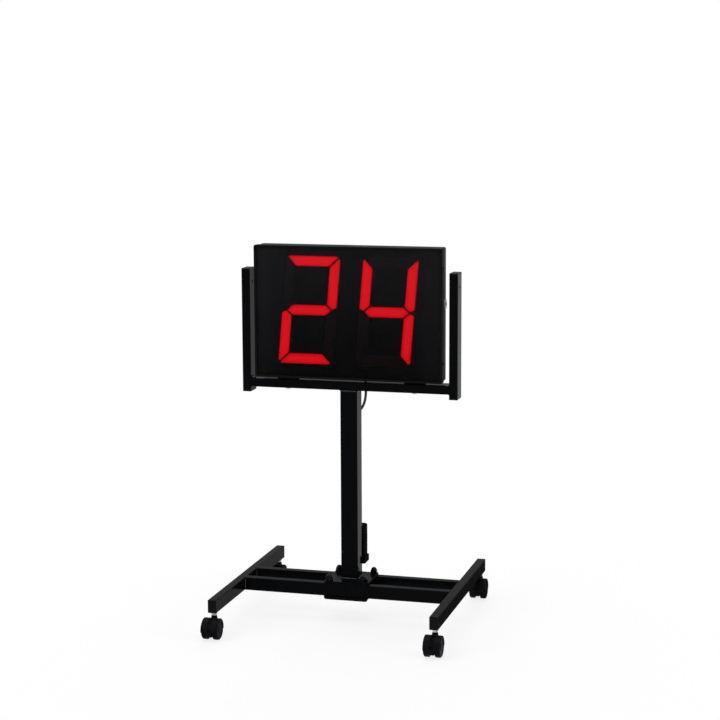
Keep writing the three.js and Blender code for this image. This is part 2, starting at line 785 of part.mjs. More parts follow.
/** The seven segments of a digit as lists of points, X to the right and Y up from the digit's centre. */
function segmentPoints() {
  const x = digitWidth / 2;
  const y = digitHeight / 2;
  const mitre = segmentGap / Math.SQRT2;
  const near = (segmentCorner + mitre) / 2;
  const far = (segmentCorner - mitre) / 2;
  const tip = segmentGap / 2;
  const top = [
    [-x + near, y - far],
    [-x + segmentCorner, y],
    [x - segmentCorner, y],
    [x - near, y - far],
    [x - segmentWidth - mitre, y - segmentWidth],
    [-x + segmentWidth + mitre, y - segmentWidth],
  ];
  const upperRight = [
    [x - far, y - near],
    [x, y - segmentCorner],
    [x, tip + segmentTipRise],
    [x - segmentTipInset, tip],
    [x - segmentWidth, segmentWidth / 2 + tip],
    [x - segmentWidth, y - segmentWidth - mitre],
  ];
  const middle = [
    [-x + segmentTipInset + mitre, 0],
    [-x + segmentWidth + mitre, segmentWidth / 2],
    [x - segmentWidth - mitre, segmentWidth / 2],
    [x - segmentTipInset - mitre, 0],
    [x - segmentWidth - mitre, -segmentWidth / 2],
    [-x + segmentWidth + mitre, -segmentWidth / 2],
  ];
  const mirror = (points, across, up) => points.map(([px, py]) => [px * across, py * up]);
  return {
    top,
    upperRight,
    lowerRight: mirror(upperRight, 1, -1),
    bottom: mirror(top, 1, -1),
    lowerLeft: mirror(upperRight, -1, -1),
    upperLeft: mirror(upperRight, -1, 1),
    middle,
  };
}

/** Leans a digit's points to the right and moves them to the digit's place. */
function leaned(points, centreX) {
  const slope = Math.tan(digitLean);
  return points.map(([x, y]) => [centreX + x + y * slope, digitMiddle + y]);
}

/** Pushes the sides of a convex outline outwards by a distance. */
function grown(points, distance) {
  const area = THREE.ShapeUtils.area(points.map(([x, y]) => new THREE.Vector2(x, y)));
  const outward = distance * Math.sign(area);
  const count = points.length;
  return points.map(([x, y], i) => {
    const [beforeX, beforeY] = points[(i + count - 1) % count];
    const [afterX, afterY] = points[(i + 1) % count];
    const before = new THREE.Vector2(x - beforeX, y - beforeY).normalize();
    const after = new THREE.Vector2(afterX - x, afterY - y).normalize();
    const bend = 1 + before.dot(after);
    return [x + outward * (before.y + after.y) / bend, y - outward * (before.x + after.x) / bend];
  });
}

/** The two digits: their places, and which of their segments are lit. */
const digits = [
  { name: 'tens', x: -digitSpacing / 2, lit: ['top', 'upperRight', 'middle', 'lowerLeft', 'bottom'] },
  { name: 'units', x: digitSpacing / 2, lit: ['upperLeft', 'upperRight', 'middle', 'lowerRight'] },
];

/** The sheet in front of the digits, with an opening for each of the fourteen segments. */
function digitMask() {
  const outline = sheetOutline();
  for (const { x } of digits) {
    for (const points of Object.values(segmentPoints())) {
      const opening = grown(leaned(points, x), apertureGap).map(([px, pz]) => [px, pz - displayMiddle]);
      outline.holes.push(polygon(opening));
    }
  }
  return alongY(outline, maskFrontY, maskBackY).translate([0, 0, displayMiddle]);
}

/** The slanted plate behind one digit's segments. */
function lensPlateOutline(centreX) {
  const x = digitWidth / 2 + lensMargin;
  const y = digitHeight / 2 + lensMargin;
  return polygon(leaned([[-x, -y], [x, -y], [x, y], [-x, y]], centreX));
}

/** The lens with a digit's lit segments; the dark segments pass through its plate. */
function litLens({ x, lit }) {
  const plate = lensPlateOutline(x);
  const raised = [];
  for (const [name, points] of Object.entries(segmentPoints())) {
    const outline = leaned(points, x);
    if (lit.includes(name)) {
      raised.push(alongY(polygon(outline), segmentFaceY, litPlateBackY));
    } else {
      plate.holes.push(polygon(grown(outline, apertureGap)));
    }
  }
  return join(alongY(plate, housingFrontY, litPlateBackY), ...raised);
}

/** The lens with a digit's dark segments, behind the lit one. */
function darkLens({ x, lit }) {
  const raised = Object.entries(segmentPoints())
    .filter(([name]) => !lit.includes(name))
    .map(([, points]) => alongY(polygon(leaned(points, x)), segmentFaceY, darkPlateBackY));
  return join(alongY(lensPlateOutline(x), darkPlateFrontY, darkPlateBackY), ...raised);
}

/** The outline of the row of lamps behind a segment: a strip along its middle line. */
function lampStrip(points) {
  const across = points.map(([x]) => x);
  const up = points.map(([, y]) => y);
  const left = Math.min(...across);
  const right = Math.max(...across);
  const low = Math.min(...up);
  const high = Math.max(...up);
  const middleX = (left + right) / 2;
  const middleY = (low + high) / 2;
  const level = right - left > high - low;
  const reachX = level ? (right - left) / 2 - segmentWidth : stripWidth / 2;
  const reachY = level ? stripWidth / 2 : (high - low) / 2 - segmentWidth;
  return [
    [middleX - reachX, middleY - reachY],
    [middleX + reachX, middleY - reachY],
    [middleX + reachX, middleY + reachY],
    [middleX - reachX, middleY + reachY],
  ];
}

/** The circuit board with a strip of lamps behind every segment. */
function ledBoard() {
  const plate = alongY(roundedOutline(boardWidth, boardHeight, displayCorner), boardFrontY, boardBackY)
    .translate([0, 0, displayMiddle]);
  const strips = digits.flatMap(({ x }) => Object.values(segmentPoints()).map((points) => {
    const outline = polygon(leaned(lampStrip(points), x));
    return alongY(outline, boardFrontY - stripHeight, (boardFrontY + boardBackY) / 2);
  }));
  return join(plate, ...strips);
}

/** The housing's back wall with its vents and the opening behind the connector plate. */
function housingBack() {
  const outline = roundedOutline(housingWidth, housingHeight, displayCorner);
  for (const x of [-ventAside, ventAside]) {
    for (let i = 0; i < ventCount; i += 1) {
      outline.holes.push(slot(ventLength, ventHeight, x, ventRise + i * ventPitch));
    }
  }
  const opening = roundedOutline(
    connectorWidth - 2 * connectorLap,
    connectorHeight - 2 * connectorLap,
    connectorCorner,
  );
  const connectorZ = connectorMiddle - displayMiddle;
  const points = opening.getPoints(cornerSteps).map(({ x, y }) => [x, y + connectorZ]);
  outline.holes.push(polygon(points));
  return alongY(outline, displayBackY - housingWall, displayBackY, 0, ventSteps)
    .translate([0, 0, displayMiddle]);
}

/** The rear housing: walls, a neck and rim that fit the front frame, vents and inner bosses. */
function rearHousing() {
  const fit = 2 * (frameWall + seatGap);
  const neckHeight = displayHeight - fit;
  const openWidth = housingWidth - 2 * housingWall;
  const openHeight = neckHeight - 2 * housingWall;
  const innerCorner = displayCorner - housingWall;
  const shoulderY = frameBackY + seatGap;
  const walls = alongY(
    ringOutline(housingWidth, housingHeight, displayCorner, openWidth, openHeight, innerCorner),
    shoulderY,
    displayBackY - housingWall / 2,
  ).translate([0, 0, displayMiddle]);
  const neck = alongY(
    ringOutline(housingWidth, neckHeight, innerCorner, openWidth, openHeight, innerCorner),
    housingFrontY,
    shoulderY + housingWall,
  ).translate([0, 0, displayMiddle]);
  const rim = alongY(
    ringOutline(displayWidth - fit, neckHeight, innerCorner, openWidth, openHeight, innerCorner),
    housingFrontY,
    housingFrontY + housingRim,
  ).translate([0, 0, displayMiddle]);
  const bosses = [-1, 1].flatMap((across) => [-1, 1].map((up) => barY(
    bossRadius,
    boardBackY + seatGap,
    displayBackY - housingWall / 2,
    across * (boardWidth / 2 - bossInset),
    displayMiddle + up * (boardHeight / 2 - bossInset),
    boltSides,
  )));
  const nuts = [-padAside, padAside].map((x) => (
    barZ(seatNutRadius, housingBottom + housingWall / 2, housingBottom + housingWall + seatNutHeight, x)
  ));
  const bores = [-padAside, padAside].map((x) => barZ(
    seatBoltRadius + holeGap,
    housingBottom - overrun,
    housingBottom + housingWall + seatNutHeight + overrun,
    x,
  ));
  const sideHole = barX(
    sideBossSpigot + holeGap,
    -housingWidth / 2 - overrun,
    housingWidth / 2 + overrun,
    sideBossSetback,
    displayBottom + sideBossRise,
  );
  return cut(join(walls, neck, housingBack(), rim, ...bosses, ...nuts), ...bores, sideHole);
}

/** A turned boss on the display's side, made with its face up, seat at zero, and a spigot through the wall. */
function sideBoss() {
  const hole = sideBossHeight - sideBossEase;
  return turned([
    [0, -housingWall * 2],
    [sideBossSpigot, -housingWall * 2],
    [sideBossSpigot, seatGap],
    [sideBossRadius, seatGap],
    [sideBossRadius, sideBossHeight - sideBossEase],
    [sideBossRadius - sideBossEase, sideBossHeight],
    [sideBossHole + sideBossEase, sideBossHeight],
    [sideBossHole, sideBossHeight - sideBossEase],
    [sideBossHole, sideBossHeight - hole],
    [0, sideBossHeight - hole],
  ], discSides);
}

function addDisplay() {
  place('front_frame', frontFrame(), blackCase);
  const windowSheet = alongY(sheetOutline(), windowFrontY, windowBackY).translate([0, 0, displayMiddle]);
  place('window', windowSheet, smokedGlass);
  place('digit_mask', digitMask(), maskBlack);
  for (const digit of digits) {
    place(`digit_${digit.name}_lit`, litLens(digit), litRed);
    place(`digit_${digit.name}_dark`, darkLens(digit), darkRed);
  }
  place('led_board', ledBoard(), boardGreen);
  place('rear_housing', rearHousing(), blackCase);
  for (const [side, sign] of [['left', -1], ['right', 1]]) {
    const boss = place(`side_boss_${side}`, sideBoss(), nickel);
    boss.rotation.y = sign * Math.PI / 2;
    boss.position.set(sign * housingWidth / 2, sideBossSetback, displayBottom + sideBossRise);
  }
}

// The display's seat on the crossbar

/** A block under the housing, behind the frame, with a hole for the bolt. */
function seatPad() {
  const front = frameBackY + seatGap;
  const back = crossbarDepth / 2;
  const pad = block(-padWidth / 2, padWidth / 2, front, back, crossbarTop + seatGap, housingBottom - seatGap);
  return cut(pad, barZ(seatBoltRadius + holeGap, crossbarTop - overrun, housingBottom + overrun));
}

/** The bolt from under the crossbar into the nut in the housing. */
function seatBolt() {
  const headTop = crossbarBottom - seatGap;
  const head = barZ(seatBoltHead, headTop - seatBoltHeadHeight, headTop, 0, 0, boltSides);
  return join(head, barZ(seatBoltRadius, headTop - seatBoltHeadHeight / 2, housingBottom + housingWall + seatNutHeight));
}

function addSeat() {
  for (const [side, x] of [['left', -padAside], ['right', padAside]]) {
    place(`seat_pad_${side}`, seatPad(), blackRubber).position.x = x;
    place(`seat_bolt_${side}`, seatBolt(), zinc).position.x = x;
  }
}

// Connector plate, plug, lead and adapter

/** The plate over the opening in the housing's back, with a data socket and a power jack. */
function connectorPlate() {
  const front = displayBackY + seatGap;
  const back = front + connectorThickness;
  const inner = front - socketDepth;
  const outline = roundedOutline(connectorWidth, connectorHeight, connectorCorner);
  const plate = alongY(outline, front, back).translate([0, 0, connectorMiddle]);
  const socket = barY(socketRadius, inner, back, -connectorAside, connectorMiddle);
  const jack = barY(jackRadius, inner, back, connectorAside, connectorMiddle);
  const socketHole = barY(socketBore, inner + connectorThickness, back + overrun, -connectorAside, connectorMiddle);
  const jackHole = barY(jackBore, inner + connectorThickness, back + overrun, connectorAside, connectorMiddle);
  return cut(join(plate, socket, jack), socketHole, jackHole);
}

/** The right-angle plug: a short barrel out of the jack, an upright body and a tapered tail. */
function elbowPlug() {
  const face = plugY - plugReach;
  const tip = face - connectorThickness * 2;
  const top = connectorMiddle + plugHeight / 2;
  const tailTop = connectorMiddle - plugHeight / 2;
  return join(
    barY(jackBore - holeGap, tip, plugY, connectorAside, connectorMiddle),
    barY(plugRadius, face, plugY, connectorAside, connectorMiddle),
    barZ(plugRadius, tailTop, top, connectorAside, plugY),
    barZ(plugTailRadius, plugTailBottom, tailTop + overrun, connectorAside, plugY, pinSides, plugRadius),
  );
}

/**
 * The route of the lead, from the plug down behind the crossbar and the column to the adapter. The places in a
 * bend are [share of the way over to the clips' line, share of the drop or rise to where the lead runs straight].
 */
const clipY = columnBackY + seatGap + clipRadius;
const adapterTailTop = adapterTop + adapterTailLength;
const clipHeights = [columnTop - clipDrop, adapterTop + clipRise];
const leadRoute = [
  new THREE.Vector3(connectorAside, plugY, plugTailBottom - seatGap),
  ...upperBendShares.map(([over, down]) => new THREE.Vector3(
    connectorAside * (1 - over),
    plugY + (clipY - plugY) * over,
    plugTailBottom - upperBendDrop * down,
  )),
  ...lowerBendShares.map(([over, up]) => new THREE.Vector3(
    0,
    adapterMiddleY + (clipY - adapterMiddleY) * over,
    adapterTailTop + lowerBendRise * up,
  )),
  new THREE.Vector3(0, adapterMiddleY, adapterTailTop + seatGap),
];

function powerLead() {
  return solid(new THREE.ExtrudeGeometry(circle(leadRadius, 0, 0, leadSides), {
    steps: leadSteps,
    extrudePath: new THREE.CatmullRomCurve3(leadRoute, false, 'centripetal'),
  }));
}

/** A clip that holds the lead to the column's back; made with the lead's axis at zero. */
function leadClip() {
  const seat = -clipRadius;
  const half = clipWidth / 2;
  const strap = barZ(clipRadius, -half, half);
  const foot = block(-clipFoot / 2, clipFoot / 2, seat, seat + trayWall, -half, half);
  const bore = barZ(leadRadius + holeGap, -half - overrun, half + overrun);
  return cut(join(strap, foot), bore);
}

/** The adapter's body with the lead's strain relief on top and the mains inlet below. */
function adapter() {
  const body = alongZ(
    roundedOutline(adapterWidth, adapterDepth, adapterCorner),
    adapterBottom,
    adapterTop,
    adapterEase,
  );
  const tail = barZ(
    adapterTailRadius,
    adapterTop - adapterEase,
    adapterTop + adapterTailLength,
    0,
    0,
    pinSides,
    leadRadius + holeGap,
  );
  const inlet = alongZ(
    roundedOutline(inletWidth, inletHeight, inletHeight / 3),
    adapterBottom - overrun,
    adapterBottom + inletDepth,
  );
  return cut(join(body, tail), inlet).translate([0, adapterMiddleY, 0]);
}

/** The tray on the column's back: a back plate, a floor open under the inlet, and lips on three sides. */
function adapterTray() {
  const halfInside = adapterWidth / 2 + seatGap;
  const halfOutside = halfInside + trayWall;
  const insideBack = adapterFrontY + adapterDepth + seatGap;
  const outsideBack = insideBack + trayWall;
  const floorTop = trayHeight + trayWall;
  const lipTop = trayHeight + trayLip;
  const tub = cut(
    block(-halfOutside, halfOutside, trayBackY, outsideBack, trayHeight, lipTop),
    block(-halfInside, halfInside, trayBackY + trayWall, insideBack, floorTop, lipTop + overrun),
    block(
      -trayCutWidth / 2,
      trayCutWidth / 2,
      adapterMiddleY - trayCutDepth / 2,
      adapterMiddleY + trayCutDepth / 2,
      trayHeight - overrun,
      floorTop + overrun,
    ),
  );
  const back = roundedOutline(columnSize - 2 * columnCorner, trayBack, columnCorner);
  const plate = alongY(back, trayBackY, trayBackY + trayWall).translate([0, 0, trayHeight + trayBack / 2]);
  return join(tub, plate);
}

function addPower() {
  place('connector_plate', connectorPlate(), blackPlastic);
  place('elbow_plug', elbowPlug(), blackPlastic);
  place('power_lead', powerLead(), blackRubber);
  for (const [index, height] of clipHeights.entries()) {
    place(`lead_clip_${index + 1}`, leadClip(), blackPlastic).position.set(0, clipY, height);
  }
  place('adapter', adapter(), blackPlastic);
  place('adapter_tray', adapterTray(), blackPaint);
}

addBase();
addCasters();
addFrame();
addDisplay();
addSeat();
addPower();

// The casters trail forwards, so the whole object is moved back to stand centred over its origin.
const frontReach = casterY + casterTrail + hoodRadius;
clock.position.y = (frontReach - footLength / 2) / 2;

export default clock;
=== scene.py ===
"""The looks of the shot clock on its rolling floor stand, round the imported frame.

Each class holds the sizes of one sub-assembly in millimetres and builds its finer pieces. They stand for
the frame's solids at the same size and place, and the frame's other solids keep their shape and get a finish.
"""

import logging
import math
from dataclasses import dataclass
from enum import Enum
from typing import Iterable, Optional, Sequence, Union

import bmesh
import bpy
import numpy as np
from mathutils import Matrix, Vector


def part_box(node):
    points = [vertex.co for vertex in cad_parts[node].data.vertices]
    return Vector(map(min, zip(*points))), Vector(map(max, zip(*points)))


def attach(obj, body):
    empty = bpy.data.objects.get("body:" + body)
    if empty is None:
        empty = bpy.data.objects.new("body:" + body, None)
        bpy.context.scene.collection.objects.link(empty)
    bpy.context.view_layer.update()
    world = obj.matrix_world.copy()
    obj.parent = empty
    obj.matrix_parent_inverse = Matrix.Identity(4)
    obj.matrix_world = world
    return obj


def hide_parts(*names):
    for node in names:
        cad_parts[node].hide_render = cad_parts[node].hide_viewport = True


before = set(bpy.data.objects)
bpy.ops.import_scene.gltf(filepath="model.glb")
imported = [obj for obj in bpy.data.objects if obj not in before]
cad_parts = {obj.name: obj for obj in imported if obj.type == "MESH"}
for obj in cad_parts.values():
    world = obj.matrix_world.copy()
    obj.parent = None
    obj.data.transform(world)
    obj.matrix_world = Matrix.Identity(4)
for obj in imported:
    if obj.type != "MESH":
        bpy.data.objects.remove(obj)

log = logging.getLogger("shot_clock")
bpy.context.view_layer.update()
MM = 0.001
STAND = "stand"
WHITE = (1.0, 1.0, 1.0, 1.0)
Color = tuple[float, float, float]
Point = Sequence[float]
Socket = bpy.types.NodeSocket
Input = Union[float, Sequence[float], Socket]


class Way(Enum):
    """A direction that a piece is drawn, turned or pointed in."""

    RIGHT = (1.0, 0.0, 0.0)
    LEFT = (-1.0, 0.0, 0.0)
    BACK = (0.0, 1.0, 0.0)
    FRONT = (0.0, -1.0, 0.0)
    UP = (0.0, 0.0, 1.0)
    DOWN = (0.0, 0.0, -1.0)

    @property
    def vector(self) -> Vector:
        """The direction as a unit vector."""
        return Vector(self.value)

    def to(self, point: Point) -> Matrix:
        """Takes +Z to this direction and the origin to a point in millimetres."""
        turn = Vector((0, 0, 1)).rotation_difference(self.vector).to_matrix().to_4x4()
        return Matrix.Translation(Vector(point) * MM) @ turn


SIDES = {"left": Way.LEFT, "right": Way.RIGHT}
ENDS = {"front": Way.FRONT, "rear": Way.BACK}


def box_of(node: str) -> tuple[Vector, Vector]:
    """The lowest and highest corner of one of the frame's solids, in millimetres."""
    low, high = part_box(node)
    return low / MM, high / MM


def middle_of(node: str) -> Vector:
    """The middle of the box round one of the frame's solids, in millimetres."""
    low, high = box_of(node)
    return (low + high) / 2


def under(node: str) -> Matrix:
    """Takes the origin to the floor under the middle of one of the frame's solids."""
    spot = middle_of(node)
    return Way.UP.to((spot.x, spot.y, 0))


class Nodes:
    """Adds shader nodes to a tree, each with its inputs set or linked in one call."""

    def __init__(self, tree: bpy.types.NodeTree) -> None:
        """Takes the tree that the nodes go to."""
        self.tree = tree

    def add(self, kind: str) -> bpy.types.Node:
        """Adds a shader node of a kind."""
        return self.tree.nodes.new(f"ShaderNode{kind}")

    def feed(self, node: bpy.types.Node, inputs: dict[Union[str, int], Input]) -> bpy.types.Node:
        """Sets or links inputs of a node.

        Args:
            node: The node.
            inputs: For each input, the value that it is set to or the socket that it is linked from.

        Returns:
            The node.
        """
        for name, source in inputs.items():
            if isinstance(source, Socket):
                self.tree.links.new(source, node.inputs[name])
            else:
                node.inputs[name].default_value = source
        return node

    def math(self, operation: str, *values: Input, kind: str = "Math") -> Socket:
        """Adds a sum.

        Args:
            operation: The sum, by Blender's name for it.
            values: What it reads.
            kind: Math for numbers, or VectorMath.

        Returns:
            The result, a number.
        """
        node = self.add(kind)
        node.operation = operation
        return self.feed(node, dict(enumerate(values))).outputs["Value"]

    def mix(self, share: Input, first: Input, second: Input) -> Socket:
        """Mixes two colours.

        Args:
            share: The second colour's share.
            first: The first colour.
            second: The second colour.

        Returns:
            The mixed colour.
        """
        node = self.add("Mix")
        node.data_type = "RGBA"
        return self.feed(node, {"Factor": share, "A": first, "B": second}).outputs["Result"]

    def spread(
        self, value: Socket, start: float, stop: float, low: float = 0, high: float = 1, smooth: bool = False
    ) -> Socket:
        """Maps a range of values to another.

        Args:
            value: The value.
            start: Start of its range.
            stop: End of its range.
            low: What the start becomes.
            high: What the end becomes.
            smooth: Whether it eases in and out.

        Returns:
            The mapped value.
        """
        node = self.add("MapRange")
        node.interpolation_type = "SMOOTHSTEP" if smooth else "LINEAR"
        numbers = {"From Min": start, "From Max": stop, "To Min": low, "To Max": high}
        return self.feed(node, {"Value": value, **numbers}).outputs["Result"]

    def ramp(self, value: Socket, steps: Sequence[tuple[float, Sequence[float]]]) -> Socket:
        """Turns a value to a colour.

        Args:
            value: The value.
            steps: Places in its range, each with its colour.

        Returns:
            The colour.
        """
        node = self.add("ValToRGB")
        stops = node.color_ramp.elements
        while len(stops) < len(steps):
            stops.new(0.5)
        for stop, (place, color) in zip(stops, steps):
            stop.position = place
            stop.color = (*color, 1)
        return self.feed(node, {"Fac": value}).outputs["Color"]

    def noise(self, place: Socket, size: float) -> Socket:
        """A noise at a place, with its grain's size in millimetres."""
        inputs = {"Vector": place, "Scale": 1 / (size * MM), "Detail": 3}
        return self.feed(self.add("TexNoise"), inputs).outputs["Fac"]

    def length(self, vector: Socket) -> Socket:
        """The length of a vector."""
        return self.math("LENGTH", vector, kind="VectorMath")

    def parts(self, vector: Socket) -> bpy.types.NodeOutputs:
        """The X, Y and Z of a vector."""
        return self.feed(self.add("SeparateXYZ"), {0: vector}).outputs


class Pattern(Enum):
    """How a finish's relief is laid out."""

    GRAIN = "even grain"
    RINGS = "turning marks about X"


@dataclass(frozen=True)
class Finish:
    """One surface finish, with fine relief and slight unevenness that follow Object coordinates.

    Attributes:
        name: The material's name.
        slot: The record's material slot that it belongs to; not used by this script.
        color: Linear base colour.
        roughness: Mean roughness.
        metallic: 1 for bare metal.
        specular: Specular level of a coat or plastic.
        grain: Size of the relief's grain, or from lamp to lamp behind a lit surface, in millimetres.
        relief: Height of the relief in millimetres.
        uneven: How far the roughness strays to each side.
        tint: Share by which the colour strays to each side.
        pattern: The relief's layout.
        centre: Where a ring pattern has its axis, in millimetres.
        glow: Linear colour of the light that it gives off, if any.
        alpha: Share of it that hides what is behind.
        painted_reflection_grey: Grey that a sheet gains towards its top and its sides, a painted reflection
            of soft light.
    """

    name: str
    slot: str
    color: Color
    roughness: float
    metallic: float = 0.0
    specular: float = 0.5
    grain: float = 1.0
    relief: float = 0.01
    uneven: float = 0.05
    tint: float = 0.12
    pattern: Pattern = Pattern.GRAIN
    centre: Color = (0.0, 0.0, 0.0)
    glow: Optional[Color] = None
    alpha: float = 1.0
    painted_reflection_grey: float = 0.0

    # Sizes of the patches in which roughness and colour stray, in millimetres, and a noise's usual range.
    SHEEN_PATCH = 55
    TINT_PATCH = 9
    NOISE_RANGE = (0.3, 0.7)
    # Along Z and to the sides: where the painted reflection starts and where it is full, and its share at
    # both.
    PAINTED_REFLECTION_UP = (580 * MM, 900 * MM, 0, 0.45)
    PAINTED_REFLECTION_ASIDE = (110 * MM, 290 * MM, 0, 0.52)
    # A wave texture's scale for one ring or one lamp in each unit of length, and the rings' unevenness.
    RING_RATE = 0.3
    LAMP_RATE = 0.314
    RING_WAVER = 0.6
    # Shares of the glow's red, green and blue, from a segment's edge to its middle.
    GLOW_STEPS = (
        (0.0, (0, 0, 0)), (0.2, (0.16, 0.2, 0.1)), (0.5, (0.8, 0.6, 0.8)), (0.8, (0.97, 1, 1)),
        (1.0, (1, 6, 1.6)),
    )
    # The light's strength between the lamps and over them.
    LAMP_LEVELS = (0.93, 1.1)

    def material(self) -> bpy.types.Material:
        """Makes the finish's node material, once.

        Returns:
            The material.
        """
        found = bpy.data.materials.get(self.name)
        if found:
            return found
        made = bpy.data.materials.new(self.name)
        made.use_nodes = True
        made.diffuse_color = (*self.color, 1)
        nodes = Nodes(made.node_tree)
        place = nodes.add("TexCoord").outputs["Object"]
        least, most = self.roughness - self.uneven, self.roughness + self.uneven
        shader = nodes.feed(made.node_tree.nodes["Principled BSDF"], {
            "Metallic": self.metallic,
            "Specular IOR Level": self.specular,
            "Alpha": self.alpha,
            "Roughness": nodes.spread(nodes.noise(place, self.SHEEN_PATCH), *self.NOISE_RANGE, least, most),
            "Base Color": self._tone(nodes, place),
            "Normal": self._bumps(nodes, place),
        })
        if self.glow:
            self._light(nodes, place, shader)
        return made

    def _tone(self, nodes: Nodes, place: Socket) -> Socket:
        """Lets the colour stray over the surface, and adds a sheet's painted reflection towards its top and
        sides.

        Args:
            nodes: The material's nodes.
            place: Object coordinates.

        Returns:
            The colour.
        """
        levels = (1 - self.tint, 1 + self.tint)
        dark, light = ((*(min(1, c * level) for c in self.color), 1) for level in levels)
        share = nodes.spread(nodes.noise(place, self.TINT_PATCH), *self.NOISE_RANGE)
        tone = nodes.mix(share, dark, light)
        if not self.painted_reflection_grey:
            return tone
        # Painted reflection: grey mixed in towards the sheet's top and its sides, standing in for soft light
        # that it mirrors.
        axes = nodes.parts(place)
        up = nodes.spread(axes["Z"], *self.PAINTED_REFLECTION_UP, smooth=True)
        aside = nodes.spread(nodes.math("ABSOLUTE", axes["X"]), *self.PAINTED_REFLECTION_ASIDE, smooth=True)
        return nodes.mix(nodes.math("ADD", up, aside), tone, (self.painted_reflection_grey, self.painted_reflection_grey, self.painted_reflection_grey * 1.1, 1))

    def _bumps(self, nodes: Nodes, place: Socket) -> Socket:
        """Adds the finish's fine relief.

        Args:
            nodes: The material's nodes.
            place: Object coordinates.

        Returns:
            The surface's normal.
        """
        if self.pattern is Pattern.RINGS:
            shift = [-c * MM for c in self.centre]
            centred = nodes.feed(nodes.add("Mapping"), {"Vector": place, "Location": shift})
            rings = nodes.add("TexWave")
            rings.wave_type = "RINGS"
            rings.rings_direction = "X"
            scale = self.RING_RATE / (self.grain * MM)
            nodes.feed(rings, {"Vector": centred.outputs[0], "Scale": scale, "Distortion": self.RING_WAVER})
            height = rings.outputs["Fac"]
        else:
            height = nodes.noise(place, self.grain)
        bump = nodes.feed(nodes.add("Bump"), {"Distance": self.relief * MM, "Height": height})
        return bump.outputs["Normal"]

    def _light(self, nodes: Nodes, place: Socket, shader: bpy.types.Node) -> None:
        """Lights the surface from lamps behind it.

        Args:
            nodes: The material's nodes.
            place: Object coordinates.
            shader: The surface's shader.
        """
        core = nodes.add("Attribute")
        core.attribute_name = "core"
        steps = [(at, [c * share for c, share in zip(self.glow, shares)]) for at, shares in self.GLOW_STEPS]
        waves = []
        for axis in ("X", "Z"):
            wave = nodes.add("TexWave")
            wave.bands_direction = axis
            nodes.feed(wave, {"Vector": place, "Scale": self.LAMP_RATE / (self.grain * MM)})
            waves.append(wave.outputs["Fac"])
        nodes.feed(shader, {
            "Emission Color": nodes.ramp(core.outputs["Fac"], steps),
            "Emission Strength": nodes.spread(nodes.math("MULTIPLY", *waves), 0, 1, *self.LAMP_LEVELS),
        })


class Look:
    """The finishes of this clock and its stand."""

    PAINT = Finish(
        "black_enamel", "black_paint", (0.0029, 0.0032, 0.0039), 0.15, specular=0.021, grain=2.2,
        relief=0.004, uneven=0.03,
    )
    WELD = Finish(
        "weld_enamel", "black_paint", (0.003, 0.0032, 0.0038), 0.14, specular=0.6, grain=1.5, relief=0.25,
        uneven=0.06,
    )
    TRAY = Finish(
        "tray_enamel", "black_paint", (0.003, 0.0031, 0.0034), 0.35, specular=0.0006, grain=1.6, relief=0.006
    )
    SHELL = Finish(
        "adapter_shell", "black_plastic", (0.0034, 0.0034, 0.0036), 0.4, specular=0.0006, grain=0.9
    )
    # Two copies of the case's one black paint: the housing's is lighter, painted light for its back, and the
    # front frame's is darker and almost without gloss, painted shade on its sides.
    CASE_PAINTED_LIGHT = Finish(
        "housing_paint_painted_light", "black_case", (0.021, 0.0214, 0.0228), 0.5, specular=0.03, grain=0.8, relief=0.03,
        uneven=0.06,
    )
    CASE_PAINTED_SHADE = Finish(
        "frame_paint_painted_shade", "black_case", (0.0075, 0.0076, 0.0082), 0.3, specular=0.0022, grain=1.1, relief=0.006,
        uneven=0.04,
    )
    PLASTIC = Finish(
        "black_moulding", "black_plastic", (0.0056, 0.006, 0.0058), 0.36, specular=0.05, grain=0.7,
        relief=0.012,
    )
    HOOD = Finish(
        "hood_moulding", "caster_plastic", (0.0046, 0.0049, 0.0066), 0.36, specular=0.035, grain=0.6,
        relief=0.015,
    )
    TREAD = Finish(
        "wheel_moulding", "wheel_plastic", (0.005, 0.0053, 0.007), 0.42, specular=0.03, grain=0.5,
        relief=0.02, tint=0.2,
    )
    RUBBER = Finish("pad_rubber", "rubber", (0.006, 0.006, 0.006), 0.75, specular=0.2, grain=0.6, relief=0.03)
    COVER = Finish("lead_cover", "lead_cover", (0.0035, 0.0035, 0.0038), 0.45, specular=0.03, grain=0.8)
    BOLT = Finish(
        "blackened_steel", "dark_steel", (0.0095, 0.0095, 0.0115), 0.12, metallic=1.0, grain=0.9, relief=0.006
    )
    ZINC = Finish("zinc_plate", "zinc", (0.62, 0.64, 0.67), 0.3, metallic=1.0, grain=0.8, relief=0.006)
    NICKEL = Finish(
        "turned_nickel", "nickel", (0.3, 0.3, 0.31), 0.32, metallic=1.0, grain=0.7, relief=0.012,
        pattern=Pattern.RINGS, centre=(0.0, 17.1, 736.9),
    )
    MASK = Finish(
        "mask_print", "mask_black", (0.0064, 0.0069, 0.0079), 0.6, specular=0.04, grain=0.4, relief=0.004,
        uneven=0.03,
    )
    LIT = Finish(
        "lit_segment", "lit_red", (0.05, 0.001, 0.0015), 0.4, specular=0.05, grain=4.6,
        glow=(1.33, 0.0016, 0.0135),
    )
    DARK = Finish(
        "dark_segment", "dark_red", (0.0165, 0.0098, 0.0098), 0.42, specular=0.05, grain=0.9, tint=0.2
    )
    BOARD = Finish("board_lacquer", "board_green", (0.02, 0.1, 0.055), 0.4, grain=1.4, relief=0.03, tint=0.35)
    # The window's grey towards its top and its sides is a painted reflection.
    WINDOW = Finish(
        "smoked_window", "smoked_glass", (0.003, 0.003, 0.0035), 0.2, specular=0.02, grain=6.0,
        relief=0.002, uneven=0.02, alpha=0.3, painted_reflection_grey=0.03,
    )


